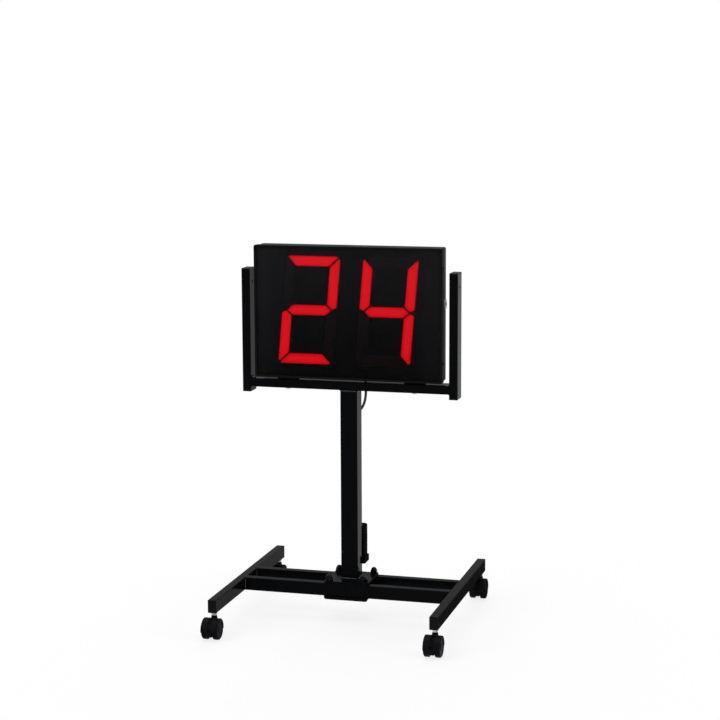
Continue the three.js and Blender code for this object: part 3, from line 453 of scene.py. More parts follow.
def dress(look: Finish, *nodes: str) -> None:
    """Gives the frame's own solids a finish.

    Args:
        look: The finish.
        nodes: The solids' names.
    """
    for name in nodes:
        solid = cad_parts[name]
        if not solid.material_slots:
            solid.data.materials.append(look.material())
        for slot in solid.material_slots:
            slot.material = look.material()
        log.info("%s: dressed as %s", name, look.name)


class Solid:
    """A closed shape in the making: a bmesh in metres, described in millimetres."""

    # Least cosine between two directions that count as one, and between a front face's normal and the front.
    ALIGNED = 0.9
    FACING = 0.99
    # How far behind the foremost point a front face may lie.
    FRONT_DEPTH = 0.05
    # A weld bead's radius at its ends and what it gains from point to point, as shares of the full
    # radius, and its ripple's step in radians.
    BEAD_START = 0.35
    BEAD_GAIN = 0.25
    RIPPLE_STEP = 2.1
    # A hexagon's chamfer, as a share of its radius.
    CHAMFER = 0.14

    def __init__(self) -> None:
        """Starts with no faces."""
        self.bm = bmesh.new()

    @classmethod
    def bar(
        cls, low: Point, high: Point, way: Way, radius: float = 0, ease: float = 0, rounds: int = 4
    ) -> "Solid":
        """Draws a rectangular bar with round long edges.

        Args:
            low: Lowest corner.
            high: Highest corner.
            way: The direction of the long edges, and of the end that is eased.
            radius: Radius of the long edges, or zero.
            ease: Radius round the end that the bar points to, or zero.
            rounds: Segments of each radius.

        Returns:
            The bar.
        """
        made = cls()
        bm = made.bm
        bmesh.ops.create_cube(bm, size=1)
        bmesh.ops.scale(bm, vec=(Vector(high) - Vector(low)) * MM, verts=bm.verts)
        bmesh.ops.translate(bm, vec=(Vector(high) + Vector(low)) / 2 * MM, verts=bm.verts)
        slopes = [((e.verts[1].co - e.verts[0].co).normalized().dot(way.vector), e) for e in bm.edges]
        if radius:
            made.round_off([e for slope, e in slopes if abs(slope) > cls.ALIGNED], radius, rounds)
        if ease:
            end = [f for f in bm.faces if f.normal.dot(way.vector) > cls.ALIGNED]
            made.round_off([e for f in end for e in f.edges], ease, rounds)
        return made

    @classmethod
    def tube(cls, low: Point, high: Point, way: Way, radius: float, wall: float) -> "Solid":
        """Draws an open rectangular tube.

        Args:
            low: Lowest corner.
            high: Highest corner.
            way: The direction of the tube.
            radius: Outer corner radius.
            wall: Thickness of the wall.

        Returns:
            The tube.
        """
        made = cls.bar(low, high, way, radius)
        ends = [f for f in made.bm.faces if abs(f.normal.dot(way.vector)) > cls.ALIGNED]
        bmesh.ops.delete(made.bm, geom=ends, context="FACES_ONLY")
        bmesh.ops.solidify(made.bm, geom=made.bm.faces[:], thickness=wall * MM)
        return made

    @classmethod
    def copied(cls, node: str) -> "Solid":
        """Copies one of the frame's solids, with its triangles merged to flat faces.

        Args:
            node: The solid's name.

        Returns:
            The copy.
        """
        made = cls()
        bm = made.bm
        bm.from_mesh(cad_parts[node].data)
        bmesh.ops.remove_doubles(bm, verts=bm.verts, dist=1e-6)
        bmesh.ops.dissolve_limit(bm, angle_limit=math.radians(1), verts=bm.verts, edges=bm.edges)
        return made

    @classmethod
    def turned(cls, profile: Sequence[tuple[float, float]], steps: int = 48) -> "Solid":
        """Turns a profile about +Z.

        Args:
            profile: Points of radius and height, from axis to axis.
            steps: Number of sides.

        Returns:
            The turned solid.
        """
        made = cls()
        bm = made.bm
        points = [bm.verts.new((r * MM, 0, z * MM)) for r, z in profile]
        edges = [bm.edges.new(pair) for pair in zip(points, points[1:])]
        bmesh.ops.spin(
            bm, geom=points + edges, cent=(0, 0, 0), axis=(0, 0, 1), angle=2 * math.pi, steps=steps,
            use_merge=True,
        )
        bmesh.ops.remove_doubles(bm, verts=bm.verts, dist=1e-7)
        bmesh.ops.recalc_face_normals(bm, faces=bm.faces)
        return made

    @classmethod
    def rod(cls, radius: float, bottom: float, top: float, steps: int = 32) -> "Solid":
        """Turns a plain rod about +Z, from one height to another."""
        return cls.turned([(0, bottom), (radius, bottom), (radius, top), (0, top)], steps)

    @classmethod
    def hexagon(cls, radius: float, bottom: float, top: float) -> "Solid":
        """Makes a bolt's hexagon with its corners chamfered by a turned cone.

        Args:
            radius: Over the corners.
            bottom: Lower height.
            top: Upper height.

        Returns:
            The hexagon.
        """
        made = cls()
        size, depth = radius * MM, (top - bottom) * MM
        middle = Way.UP.to((0, 0, (top + bottom) / 2))
        bmesh.ops.create_cone(
            made.bm, cap_ends=True, segments=6, radius1=size, radius2=size, depth=depth, matrix=middle
        )
        reach, slope = radius * 1.2, radius * cls.CHAMFER
        cone = [(0, bottom - 1), (reach, bottom - 1), (reach, top - slope), (radius - slope, top), (0, top)]
        return made.meet(cls.turned(cone))

    @classmethod
    def strand(cls, points: Sequence[Vector], radius: float, ripple: float = 0.0, sides: int = 3) -> "Solid":
        """Sweeps a round section along a line.

        Args:
            points: The line, in millimetres.
            radius: The section's radius.
            ripple: Share by which the radius swells and shrinks from point to point, as in a weld bead.
            sides: The curve's bevel resolution.

        Returns:
            The swept solid.
        """
        curve = bpy.data.curves.new("strand", "CURVE")
        curve.dimensions = "3D"
        curve.bevel_depth = radius * MM
        curve.bevel_resolution = sides
        curve.use_fill_caps = True
        spline = curve.splines.new("POLY")
        spline.points.add(len(points) - 1)
        for index, (control, point) in enumerate(zip(spline.points, points)):
            control.co = (*(Vector(point) * MM), 1)
            if ripple:
                from_end = min(index, len(points) - 1 - index)
                taper = min(1.0, cls.BEAD_START + cls.BEAD_GAIN * from_end)
                control.radius = taper * (1 + ripple * math.sin(index * cls.RIPPLE_STEP))
        made = cls()
        made._read(bpy.data.objects.new("strand", curve))
        bpy.data.curves.remove(curve)
        return made

    def _read(self, holder: bpy.types.Object) -> None:
        """Takes over the evaluated mesh of an object, and removes the object.

        Args:
            holder: The object, with any modifiers.
        """
        bpy.context.scene.collection.objects.link(holder)
        depsgraph = bpy.context.evaluated_depsgraph_get()
        mesh = bpy.data.meshes.new_from_object(holder.evaluated_get(depsgraph))
        self.bm.clear()
        self.bm.from_mesh(mesh)
        bpy.data.objects.remove(holder)
        bpy.data.meshes.remove(mesh)

    def _mesh(self, name: str) -> bpy.types.Mesh:
        """Makes a mesh of this solid as it is now.

        Args:
            name: The mesh's name.

        Returns:
            The mesh.
        """
        mesh = bpy.data.meshes.new(name)
        self.bm.to_mesh(mesh)
        return mesh

    def _combine(self, operation: str, tools: Sequence["Solid"]) -> "Solid":
        """Runs a boolean with each of some solids.

        Args:
            operation: DIFFERENCE, UNION or INTERSECT.
            tools: The other solids.

        Returns:
            This solid, changed.
        """
        for tool in tools:
            target, other = (bpy.data.objects.new("solid", solid._mesh("solid")) for solid in (self, tool))
            bpy.context.scene.collection.objects.link(other)
            modifier = target.modifiers.new("combine", "BOOLEAN")
            modifier.operation = operation
            modifier.solver = "EXACT"
            modifier.object = other
            self._read(target)
            bpy.data.objects.remove(other)
        return self

    def cut(self, *tools: "Solid") -> "Solid":
        """Takes other solids away from this one."""
        return self._combine("DIFFERENCE", tools)

    def join(self, *others: "Solid") -> "Solid":
        """Fuses other solids with this one."""
        return self._combine("UNION", others)

    def meet(self, *others: "Solid") -> "Solid":
        """Keeps what this solid shares with others."""
        return self._combine("INTERSECT", others)

    def add(self, other: "Solid") -> None:
        """Puts a separate solid in the same piece.

        Args:
            other: The other solid.
        """
        mesh = other._mesh("part")
        self.bm.from_mesh(mesh)
        bpy.data.meshes.remove(mesh)

    def moved(self, matrix: Matrix) -> "Solid":
        """Copies this solid to another place.

        Args:
            matrix: What moves the copy.

        Returns:
            The copy.
        """
        made = Solid()
        made.bm = self.bm.copy()
        bmesh.ops.transform(made.bm, matrix=matrix, verts=made.bm.verts)
        return made

    def round_off(self, edges: Iterable[bmesh.types.BMEdge], width: float, rounds: int) -> None:
        """Rounds chosen edges.

        Args:
            edges: The edges.
            width: Radius.
            rounds: Segments of the radius.
        """
        bmesh.ops.bevel(
            self.bm, geom=list(edges), offset=width * MM, offset_type="OFFSET", segments=rounds, profile=0.5,
            affect="EDGES", clamp_overlap=True, material=-1,
        )
        self.bm.normal_update()

    def grade(self, rings: Sequence[tuple[float, float]]) -> "Solid":
        """Splits the foremost faces into rings and notes how far in each corner lies; off them it is 0.

        Args:
            rings: Depths from the face's outline, from 0 upwards, each with its note.

        Returns:
            This solid, changed, with the notes as its "core" attribute.
        """
        bm = self.bm
        note = bm.verts.layers.float.new("core")
        front = min(vert.co.y for vert in bm.verts) + self.FRONT_DEPTH * MM
        level = [f for f in bm.faces if f.normal.y < -self.FACING]
        for face in [f for f in level if f.calc_center_median().y < front]:
            lines = []
            for loop in face.loops:
                start, along = loop.vert.co.copy(), loop.link_loop_next.vert.co - loop.vert.co
                lines.append((start, face.normal.cross(along).normalized()))
            inside = [face]
            for depth, _ in rings[1:]:
                for start, inward in lines:
                    parts = dict.fromkeys(part for f in inside for part in (*f.verts, *f.edges))
                    split = bmesh.ops.bisect_plane(
                        bm, geom=[*inside, *parts], plane_co=start + inward * depth * MM, plane_no=inward
                    )
                    inside = [part for part in split["geom"] if isinstance(part, bmesh.types.BMFace)]
            for vert in {vert for f in inside for vert in f.verts}:
                depth = min((vert.co - start).dot(inward) for start, inward in lines) / MM
                vert[note] = np.interp(depth, *zip(*rings))
        bm.normal_update()
        return self

    def clip(self, point: Point, normal: Point) -> "Solid":
        """Cuts away what lies on the far side of a plane and closes the cut.

        Args:
            point: A point of the plane.
            normal: The plane's normal, towards what goes.

        Returns:
            This solid, changed.
        """
        bm = self.bm
        bmesh.ops.bisect_plane(
            bm, geom=bm.verts[:] + bm.edges[:] + bm.faces[:], plane_co=Vector(point) * MM, plane_no=normal,
            clear_outer=True,
        )
        bmesh.ops.holes_fill(bm, edges=bm.edges[:], sides=0)
        bmesh.ops.recalc_face_normals(bm, faces=bm.faces)
        return self

    def piece(
        self, name: str, look: Finish, *stands_for: str, body: str = STAND, edge: float = 0, angle: float = 32
    ) -> None:
        """Finishes the solid as a piece of the object.

        Args:
            name: The piece's name.
            look: Its finish.
            stands_for: The frame's solids that it replaces.
            body: The body that it rides on.
            edge: Width of a small rounding of every sharp edge, or zero.
            angle: Least angle of an edge that stays sharp, in degrees.
        """
        mesh = self._mesh(name)
        mesh.shade_smooth()
        mesh.set_sharp_from_angle(angle=math.radians(angle))
        mesh.materials.append(look.material())
        made = bpy.data.objects.new(name, mesh)
        bpy.context.scene.collection.objects.link(made)
        if edge:
            rounding = made.modifiers.new("edges", "BEVEL")
            rounding.width = edge * MM
            rounding.segments = 2
            rounding.limit_method = "ANGLE"
            rounding.angle_limit = math.radians(angle)
            rounding.harden_normals = True
        made.modifiers.new("flat_faces", "WEIGHTED_NORMAL").keep_sharp = True
        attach(made, body)
        if stands_for:
            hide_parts(*stands_for)
        log.info("%s: %d faces in %s on %s", name, len(mesh.polygons), look.name, body)


@dataclass
class Stand:
    """The H-shaped base, the column and the U-frame: tubes, caps, welds and flange."""

    tube_radius: float = 1.6
    base_wall: float = 1.6
    frame_wall: float = 2.0
    column_size: float = 40.0
    column_radius: float = 1.8
    beyond: float = 2.0
    tries: int = 20
    stem_hole: float = 5.4
    stem_depth: float = 4.0
    bolt_hole: float = 4.4
    seat_hole: float = 3.4
    arm_hole: float = 3.5
    arm_hole_drop: float = 32.0
    cap_ease: float = 1.4
    cap_head: float = 4.0
    cap_overlap: float = 2.0
    cap_gap: float = 0.4
    plug_radius: float = 1.0
    bead: float = 1.7
    bead_step: float = 1.3
    bead_ripple: float = 0.13
    bead_proud: float = 0.5
    bead_back: float = 0.6
    bead_short: float = 3.0
    column_bead_back: float = 0.9
    column_bead_short: float = 2.0
    plate_corner: float = 6.0
    plate_ease: float = 0.7
    washer: float = 9.0
    nut: float = 8.4
    nut_height: float = 6.0
    shank: float = 4.0
    dome: float = 7.0

    def build(self) -> None:
        """Builds every piece of the stand above the casters."""
        self.tubes()
        self.caps()
        self.welds()
        self.flange()

    def drill(self, radius: float, way: Way, spot: Vector, start: float, stop: float) -> Solid:
        """A cutter for a round hole through a spot, that reaches a little beyond its start and stop."""
        place = [start - self.beyond if along else at for along, at in zip(way.value, spot)]
        return Solid.rod(radius, 0, stop - start + 2 * self.beyond).moved(way.to(place))

    def drilled(
        self, node: str, kind: str, way: Way, wall: float, hole: float, spots: Iterable[Vector],
        across: Way = Way.UP, depth: float = math.inf,
    ) -> None:
        """Draws a tube with a row of holes.

        Args:
            node: The frame's solid that it stands for.
            kind: The last word of the piece's name.
            way: The direction of the tube.
            wall: Thickness of its wall.
            hole: The holes' radius.
            spots: A point on the axis of each hole.
            across: The direction of the holes.
            depth: How far they go in.
        """
        low, high = box_of(node)
        start, stop = low.dot(across.vector), high.dot(across.vector)
        cutters = [self.drill(hole, across, spot, start, min(stop, start + depth)) for spot in spots]
        # The solver turns some drilled tubes inside out, and such a tube is drawn again.
        for _ in range(self.tries):
            made = Solid.tube(low, high, way, self.tube_radius, wall).cut(*cutters)
            if made.bm.calc_volume(signed=True) > 0:
                break
        made.piece(f"{node}_{kind}", Look.PAINT, node)

    def tubes(self) -> None:
        """Draws the foot bars, rails, column, crossbar and arms."""
        for side in SIDES:
            stems = [middle_of(f"caster_stem_{side}_{end}") for end in ENDS]
            self.drilled(
                f"foot_{side}", "bar", Way.BACK, self.base_wall, self.stem_hole, stems, depth=self.stem_depth
            )
        for end in ENDS:
            bolts = [middle_of(f"flange_bolt_{end}_{side}") for side in SIDES]
            self.drilled(f"rail_{end}", "bar", Way.RIGHT, self.base_wall, self.bolt_hole, bolts)
        low, high = box_of("column")
        x, y, _ = middle_of("column")
        half = self.column_size / 2
        corners = (x - half, y - half, low.z), (x + half, y + half, high.z)
        column = Solid.tube(*corners, Way.UP, self.column_radius, self.frame_wall)
        column.piece("column_tube", Look.PAINT, "column")
        seats = [middle_of(f"seat_bolt_{side}") for side in SIDES]
        self.drilled("crossbar", "tube", Way.RIGHT, self.frame_wall, self.seat_hole, seats)
        for side in SIDES:
            spot = middle_of(f"arm_{side}")
            spot.z = box_of(f"arm_cap_{side}_top")[1].z - self.arm_hole_drop
            self.drilled(f"arm_{side}", "tube", Way.UP, self.frame_wall, self.arm_hole, [spot], Way.RIGHT)

    def caps(self) -> None:
        """Moulds the eight end caps, each a rounded head on a plug."""
        for kind, ends in (("foot", ENDS), ("arm", {"top": Way.UP, "bottom": Way.DOWN})):
            for side in SIDES:
                for end, way in ends.items():
                    self.cap(f"{kind}_cap_{side}_{end}", way)

    def cap(self, name: str, way: Way) -> None:
        """Moulds one end cap.

        Args:
            name: The frame's solid that it stands for.
            way: The direction that its head points in.
        """
        low, high = box_of(name)
        axis = way.vector
        ahead, behind = Vector([max(0, c) for c in axis]), Vector([max(0, -c) for c in axis])
        depth = abs((high - low).dot(axis)) - self.cap_head
        head = Solid.bar(low + ahead * depth, high - behind * depth, way, self.tube_radius, self.cap_ease, 5)
        inset = (Vector((1, 1, 1)) - ahead - behind) * (self.frame_wall + self.cap_gap)
        start, stop = low + inset + behind * self.cap_overlap, high - inset - ahead * self.cap_overlap
        head.join(Solid.bar(start, stop, way, self.plug_radius)).piece(f"{name}_moulding", Look.PLASTIC, name)

    def weld(self, start: Point, stop: Point) -> Solid:
        """Lays a straight weld bead.

        Args:
            start: Where it starts.
            stop: Where it stops.

        Returns:
            The bead.
        """
        start, stop = Vector(start), Vector(stop)
        count = max(3, round((stop - start).length / self.bead_step))
        line = [start.lerp(stop, index / count) for index in range(count + 1)]
        return Solid.strand(line, self.bead, self.bead_ripple)

    def welds(self) -> None:
        """Lays the weld beads where tubes meet."""
        beads = Solid()
        low, high = box_of("column")
        x, y, _ = middle_of("column")
        half, back = self.column_size / 2 + self.bead_proud, self.column_bead_back
        for z in (low.z + back, high.z - back):
            signs = ((-1, -1), (1, -1), (1, 1), (-1, 1))
            corners = [Vector((x + half * a, y + half * b, z)) for a, b in signs]
            for first, second in zip(corners, corners[1:] + corners[:1]):
                short = (second - first).normalized() * self.column_bead_short
                beads.add(self.weld(first + short, second - short))
        back, proud, short = self.bead_back, self.bead_proud, self.bead_short
        low, high = box_of("crossbar")
        for x in (low.x + back, high.x - back):
            for z in (low.z - proud, high.z + proud):
                beads.add(self.weld((x, low.y + short, z), (x, high.y - short, z)))
        for end in ENDS:
            low, high = box_of(f"rail_{end}")
            for x in (low.x + back, high.x - back):
                for y in (low.y - proud, high.y + proud):
                    beads.add(self.weld((x, y, low.z + short), (x, y, high.z - short)))
        beads.piece("weld_beads", Look.WELD, angle=60)

    def flange(self) -> None:
        """Makes the flange plate and its four bolts."""
        low, high = box_of("flange_plate")
        plate = Solid.bar(low, high, Way.UP, self.plate_corner, self.plate_ease)
        bolt = self.dome_bolt()
        for end in ENDS:
            for side in SIDES:
                name = f"flange_bolt_{end}_{side}"
                plate.cut(self.drill(self.bolt_hole, Way.UP, middle_of(name), low.z, high.z))
                bolt.moved(under(name)).piece(f"{name}_nut", Look.BOLT, name)
        plate.piece("flange_plate_steel", Look.PAINT, "flange_plate")

    def dome_bolt(self) -> Solid:
        """Makes a bolt with its washer and domed nut, its axis at the origin.

        Returns:
            The bolt.
        """
        low, high = box_of("flange_bolt_front_left")
        seat = box_of("flange_plate")[1].z + 0.3
        nut_top = high.z - self.dome
        nut_low = nut_top - self.nut_height
        angles = [step / 8 * math.pi / 2 for step in range(8)]
        arc = [(self.dome * math.cos(angle), nut_top + self.dome * math.sin(angle)) for angle in angles]
        made = Solid.turned([
            (0, low.z), (self.shank - 0.6, low.z), (self.shank, low.z + 0.6), (self.shank, seat),
            (self.washer - 0.2, seat), (self.washer, seat + 0.2), (self.washer, nut_low - 0.3),
            (self.washer - 0.3, nut_low), (self.dome, nut_low), *arc, (0, high.z),
        ])
        return made.join(Solid.hexagon(self.nut, nut_low - 0.2, nut_top))


@dataclass
class Caster:
    """One swivelling twin-wheel caster, described about its stem's axis with the floor at zero."""

    side: str
    end: str
    trail: float = 16.0
    wheel_radius: float = 23.0
    inner: float = 6.8
    web: float = 6.4
    gap: float = 0.8
    wall: float = 1.4
    half_width: float = 19.2
    rim: float = 1.6
    collar: float = 6.6
    hood_top: float = 50.5
    hood_edge: float = 0.25
    guard_low: float = 20.4
    web_low: float = 9.7
    socket: float = 4.4
    socket_floor: float = 30.0
    socket_top: float = 60.0
    drum_depth: float = 30.0
    axle: float = 3.0
    axle_half: float = 15.2
    thread: float = 4.9
    thread_depth: float = 0.35
    thread_low: float = 59.0
    half_pitch: float = 0.6
    thread_points: int = 27
    hexagon: float = 7.2

    @property
    def name(self) -> str:
        """The caster's place, as the frame names it."""
        return f"{self.side}_{self.end}"

    @property
    def at(self) -> Matrix:
        """Takes the stem's axis to its place on the stand."""
        return under(f"caster_stem_{self.name}")

    @property
    def hub(self) -> tuple[float, float, float]:
        """The middle of the axle."""
        return 0, -self.trail, self.wheel_radius

    def build(self, hood: Solid, wheel: Solid, stem: Solid) -> None:
        """Places copies of the shared solids as this caster's pieces.

        Args:
            hood: The hood, about the stem's axis.
            wheel: A wheel, about its own axis.
            stem: The stem.
        """
        name = self.name
        stem.moved(self.at).piece(f"caster_pin_{name}", Look.ZINC, f"caster_stem_{name}")
        hood.moved(self.at).piece(
            f"caster_cover_{name}", Look.HOOD, f"caster_hood_{name}", body=f"swivel_{name}",
            edge=self.hood_edge,
        )
        outward = SIDES[self.side]
        inward = Way.RIGHT if outward is Way.LEFT else Way.LEFT
        for hand, way in (("inner", inward), ("outer", outward)):
            wheel.moved(self.at @ way.to(Vector(self.hub) + way.vector * self.inner)).piece(
                f"caster_roller_{name}_{hand}", Look.TREAD, f"caster_wheel_{name}_{hand}",
                body=f"wheel_{name}_{hand}",
            )

    def stem(self) -> Solid:
        """Turns the stem: pin, neck, thread and hexagon.

        Returns:
            The stem.
        """
        thread = []
        for step in range(self.thread_points):
            height = self.thread_low + step * self.half_pitch
            thread.append((self.thread - self.thread_depth * (step % 2), height))
        made = Solid.turned([
            (0, 30.3), (3.8, 30.3), (4.2, 30.7), (4.2, 50.8), (5.2, 50.8), (5.5, 51.1), (5.5, 58.7), *thread,
            (4.2, 76), (0, 76),
        ])
        return made.join(Solid.hexagon(self.hexagon, 54, 58.7))

    def disc(self, half: float, low: float) -> Solid:
        """Turns a rounded disc about the axle, cut level below.

        Args:
            half: Half its width.
            low: Height of the cut above the floor.

        Returns:
            The disc.
        """
        radius = self.wheel_radius + self.gap + self.wall - self.rim
        angles = [step * math.pi / 8 for step in range(5)]
        arc = [(radius + self.rim * math.sin(a), half - self.rim + self.rim * math.cos(a)) for a in angles]
        profile = [(0, -half), *[(r, -z) for r, z in arc], *reversed(arc), (0, half)]
        return Solid.turned(profile, 72).moved(Way.RIGHT.to(self.hub)).clip((0, 0, low), (0, 0, -1))

    def hood(self) -> Solid:
        """Moulds the hood: guard over both wheels, web between them, collar and axle.

        Returns:
            The hood.
        """
        guard = self.disc(self.half_width, self.guard_low)
        collar, top, base = self.collar, self.hood_top, self.wheel_radius
        guard.join(Solid.turned([
            (0, base), (collar + 1, base), (collar + 0.6, top - 5), (collar, top - 1),
            (collar - 0.3, top - 0.3), (collar - 1, top), (0, top),
        ]))
        drum = Solid.rod(self.wheel_radius + self.gap, 0, self.drum_depth, 96)
        for way in SIDES.values():
            guard.cut(drum.moved(way.to(Vector(self.hub) + way.vector * self.web)))
        guard.join(self.disc(self.web, self.web_low))
        guard.cut(Solid.rod(self.socket, self.socket_floor, self.socket_top))
        return guard.join(Solid.rod(self.axle, -self.axle_half, self.axle_half).moved(Way.RIGHT.to(self.hub)))

    def wheel(self) -> Solid:
        """Turns a wheel about +Z: grooved tread, round shoulders and a dished outer side with a hub cap.

        Returns:
            The wheel.
        """
        return Solid.turned([
            (0, 8.7), (3.2, 8.7), (3.2, 0), (8, 0), (8, 8.4), (19.6, 8.4), (19.6, 0.2), (19.8, 0), (22, 0),
            (22.6, 0.3), (23, 1.0), (23, 3.7), (22.6, 3.9), (22.6, 4.5), (23, 4.7), (23, 7.3), (22.6, 7.5),
            (22.6, 8.1), (23, 8.3), (22.9, 9.8), (22.4, 11.0), (21.6, 11.8), (20.6, 12.3), (19.4, 12.4),
            (18.7, 12.2), (18.3, 11.5), (17.8, 11.1), (16.9, 10.9), (9.2, 10.9), (8.7, 11.1), (8.3, 11.7),
            (7.6, 12.0), (4.2, 12.2), (0, 12.3),
        ], 72)


def build_casters() -> None:
    """Builds the four casters from one hood, one wheel and one stem."""
    casters = [Caster(side, end) for side in SIDES for end in ENDS]
    pattern = casters[0]
    hood, wheel, stem = pattern.hood(), pattern.wheel(), pattern.stem()
    for caster in casters:
        caster.build(hood, wheel, stem)


@dataclass
class DisplayCase:
    """The display's case: front frame, housing, side bosses, seat bolts and screws."""

    corner: float = 4.0
    inner_corner: float = 2.0
    opening_corner: float = 1.5
    frame_wall: float = 2.0
    front_ease: float = 1.5
    front_edge: float = 0.3
    lip: float = 5.0
    lip_thickness: float = 3.0
    beyond: float = 5.0
    side_inset: float = 4.0
    end_inset: float = 0.6
    fit: float = 0.3
    wall: float = 2.0
    back_ease: float = 1.6
    back_edge: float = 0.25
    vent_count: int = 5
    vent_length: float = 46.0
    vent_height: float = 4.0
    vent_depth: float = 8.0
    vent_pitch: float = 11.0
    vent_aside: float = 120.0
    vent_rise: float = 44.0
    boss_radius: float = 12.5
    boss_height: float = 4.7
    seat_bolt: float = 3.0
    seat_head: float = 5.8
    seat_head_height: float = 4.0
    screw_radius: float = 3.0
    screw_slot: float = 0.42
    screw_gap: float = 0.02
    screw_inset: float = 16.0
    side_screw_inset: float = 45.0
    side_screw_back: float = 6.0
    plate_screw_inset: float = 5.0
    glow_rings: tuple[tuple[float, float], ...] = ((0.0, 0.2), (1.8, 0.5), (4.6, 0.8), (9.6, 1.0))

    def build(self) -> None:
        """Builds and dresses the whole case."""
        self.front()
        self.housing()
        self.bosses()
        self.seat_bolts()
        self.screws()
        dress(Look.WINDOW, "window")
        dress(Look.MASK, "digit_mask")
        for name in ("digit_tens_lit", "digit_units_lit"):
            Solid.copied(name).grade(self.glow_rings).piece(f"{name}_lens", Look.LIT, name)
        dress(Look.DARK, "digit_tens_dark", "digit_units_dark")
        dress(Look.BOARD, "led_board")
        dress(Look.RUBBER, "seat_pad_left", "seat_pad_right")

    def block(
        self, aside: float, level: float, start: float, stop: float, radius: float, *ending: float
    ) -> Solid:
        """Draws a bar inside the front frame's outline.

        Args:
            aside: How far in it lies from the left and the right.
            level: How far in it lies from the bottom and the top.
            start: Where its front lies along Y.
            stop: Where its back lies along Y.
            radius: Radius of its long edges.
            ending: Radius round its back, and the segments of each radius.

        Returns:
            The bar.
        """
        low, high = box_of("front_frame")
        corners = (low.x + aside, start, low.z + level), (high.x - aside, stop, high.z - level)
        return Solid.bar(*corners, Way.BACK, radius, *ending)

    def front(self) -> None:
        """Folds the front frame: a sleeve with a lip in front of the window."""
        low, high = box_of("front_frame")
        made = Solid.bar(low, high, Way.FRONT, self.corner, self.front_ease, 6)
        wall, lip = self.frame_wall, self.lip
        made.cut(
            self.block(wall, wall, low.y + self.lip_thickness, high.y + self.beyond, self.inner_corner),
            self.block(lip, lip, low.y - self.beyond, high.y, self.opening_corner),
        )
        made.piece("front_frame_sleeve", Look.CASE_PAINTED_SHADE, "front_frame", edge=self.front_edge)

    def housing(self) -> None:
        """Presses the rear housing with its vents."""
        low, high = box_of("rear_housing")
        rim = box_of("front_frame")[1].y + self.fit
        aside, sleeve, corner = self.side_inset, self.frame_wall + self.fit, self.inner_corner
        made = self.block(aside, self.end_inset, rim, high.y, self.corner, self.back_ease, 5)
        made.join(
            self.block(aside, sleeve, low.y, rim + self.wall, corner),
            self.block(sleeve, sleeve, low.y, low.y + self.wall, corner),
        )
        inside = aside + self.wall, sleeve + self.wall
        made.cut(self.block(*inside, low.y - self.beyond, high.y - self.wall, corner))
        middle = middle_of("front_frame")
        half = Vector((self.vent_length, self.vent_depth, self.vent_height)) / 2
        vents = Solid()
        for x in (middle.x - self.vent_aside, middle.x + self.vent_aside):
            for index in range(self.vent_count):
                spot = Vector((x, high.y - self.wall, middle.z + self.vent_rise + index * self.vent_pitch))
                vents.add(Solid.bar(spot - half, spot + half, Way.BACK, half.z - 0.01))
        made.cut(vents)
        made.piece("rear_housing_shell", Look.CASE_PAINTED_LIGHT, "rear_housing", edge=self.back_edge)

    def bosses(self) -> None:
        """Turns the threaded boss on each side."""
        radius, height = self.boss_radius, self.boss_height
        profile = [
            (0, -4), (6.8, -4), (7, -3.8), (7, 0.3), (radius, 0.3), (radius, 3.6), (radius - 0.2, 4.2),
            (radius - 0.9, 4.6), (radius - 1.4, height), (9.4, height), (9.2, 4.5), (8.9, 4.5), (8.7, height),
            (5.0, height), (4.6, 4.6), (4.2, 4.2), (4, 3.9), (4, 0.8), (0, 0.8),
        ]
        for side, way in SIDES.items():
            name = f"side_boss_{side}"
            low, high = box_of(name)
            spot = middle_of(name)
            spot.x = low.x + height if way is Way.LEFT else high.x - height
            Solid.turned(profile, 72).moved(way.to(spot)).piece(f"{name}_turned", Look.NICKEL, name)

    def seat_bolts(self) -> None:
        """Makes the two bolts from under the crossbar into the housing."""
        for side in SIDES:
            name = f"seat_bolt_{side}"
            low, high = box_of(name)
            r, height, start, stop = self.seat_bolt, self.seat_head_height, low.z + 2, high.z
            shaft = Solid.turned([(0, start), (r, start), (r, stop - 0.6), (r - 0.6, stop), (0, stop)], 32)
            shaft.join(Solid.hexagon(self.seat_head, 0, height).moved(Way.DOWN.to((0, 0, low.z + height))))
            shaft.moved(under(name)).piece(f"{name}_steel", Look.ZINC, name)

    def screw(self) -> Solid:
        """Makes a pan-head screw with a cross recess, its seat at zero and its head up.

        Returns:
            The screw.
        """
        r = self.screw_radius
        profile = [(0, 0), (r, 0), (r, 0.7), (r * 0.93, 1.2), (r * 0.75, 1.7), (r * 0.45, 2.0), (0, 2.1)]
        head = Solid.turned(profile, 32)
        reach, half = r * 0.62, self.screw_slot
        for x, y in ((reach, half), (half, reach)):
            head.cut(Solid.bar((-x, -y, 1), (x, y, 3), Way.UP))
        return head

    def screws(self) -> None:
        """Sets the screws that close the case, on its back and its sides."""
        screw, made = self.screw(), Solid()
        low, high = box_of("front_frame")
        back = box_of("rear_housing")[1].y + self.screw_gap
        for x in (low.x + self.screw_inset, 0, high.x - self.screw_inset):
            for z in (low.z + self.screw_inset, high.z - self.screw_inset):
                made.add(screw.moved(Way.BACK.to((x, back, z))))
        for x, way in ((low.x - self.screw_gap, Way.LEFT), (high.x + self.screw_gap, Way.RIGHT)):
            for z in (low.z + self.side_screw_inset, high.z - self.side_screw_inset):
                made.add(screw.moved(way.to((x, high.y - self.side_screw_back, z))))
        low, high = box_of("connector_plate")
        for x in (low.x + self.plate_screw_inset, high.x - self.plate_screw_inset):
            made.add(screw.moved(Way.BACK.to((x, high.y + self.screw_gap, (low.z + high.z) / 2))))
        made.piece("case_screws", Look.BOLT)


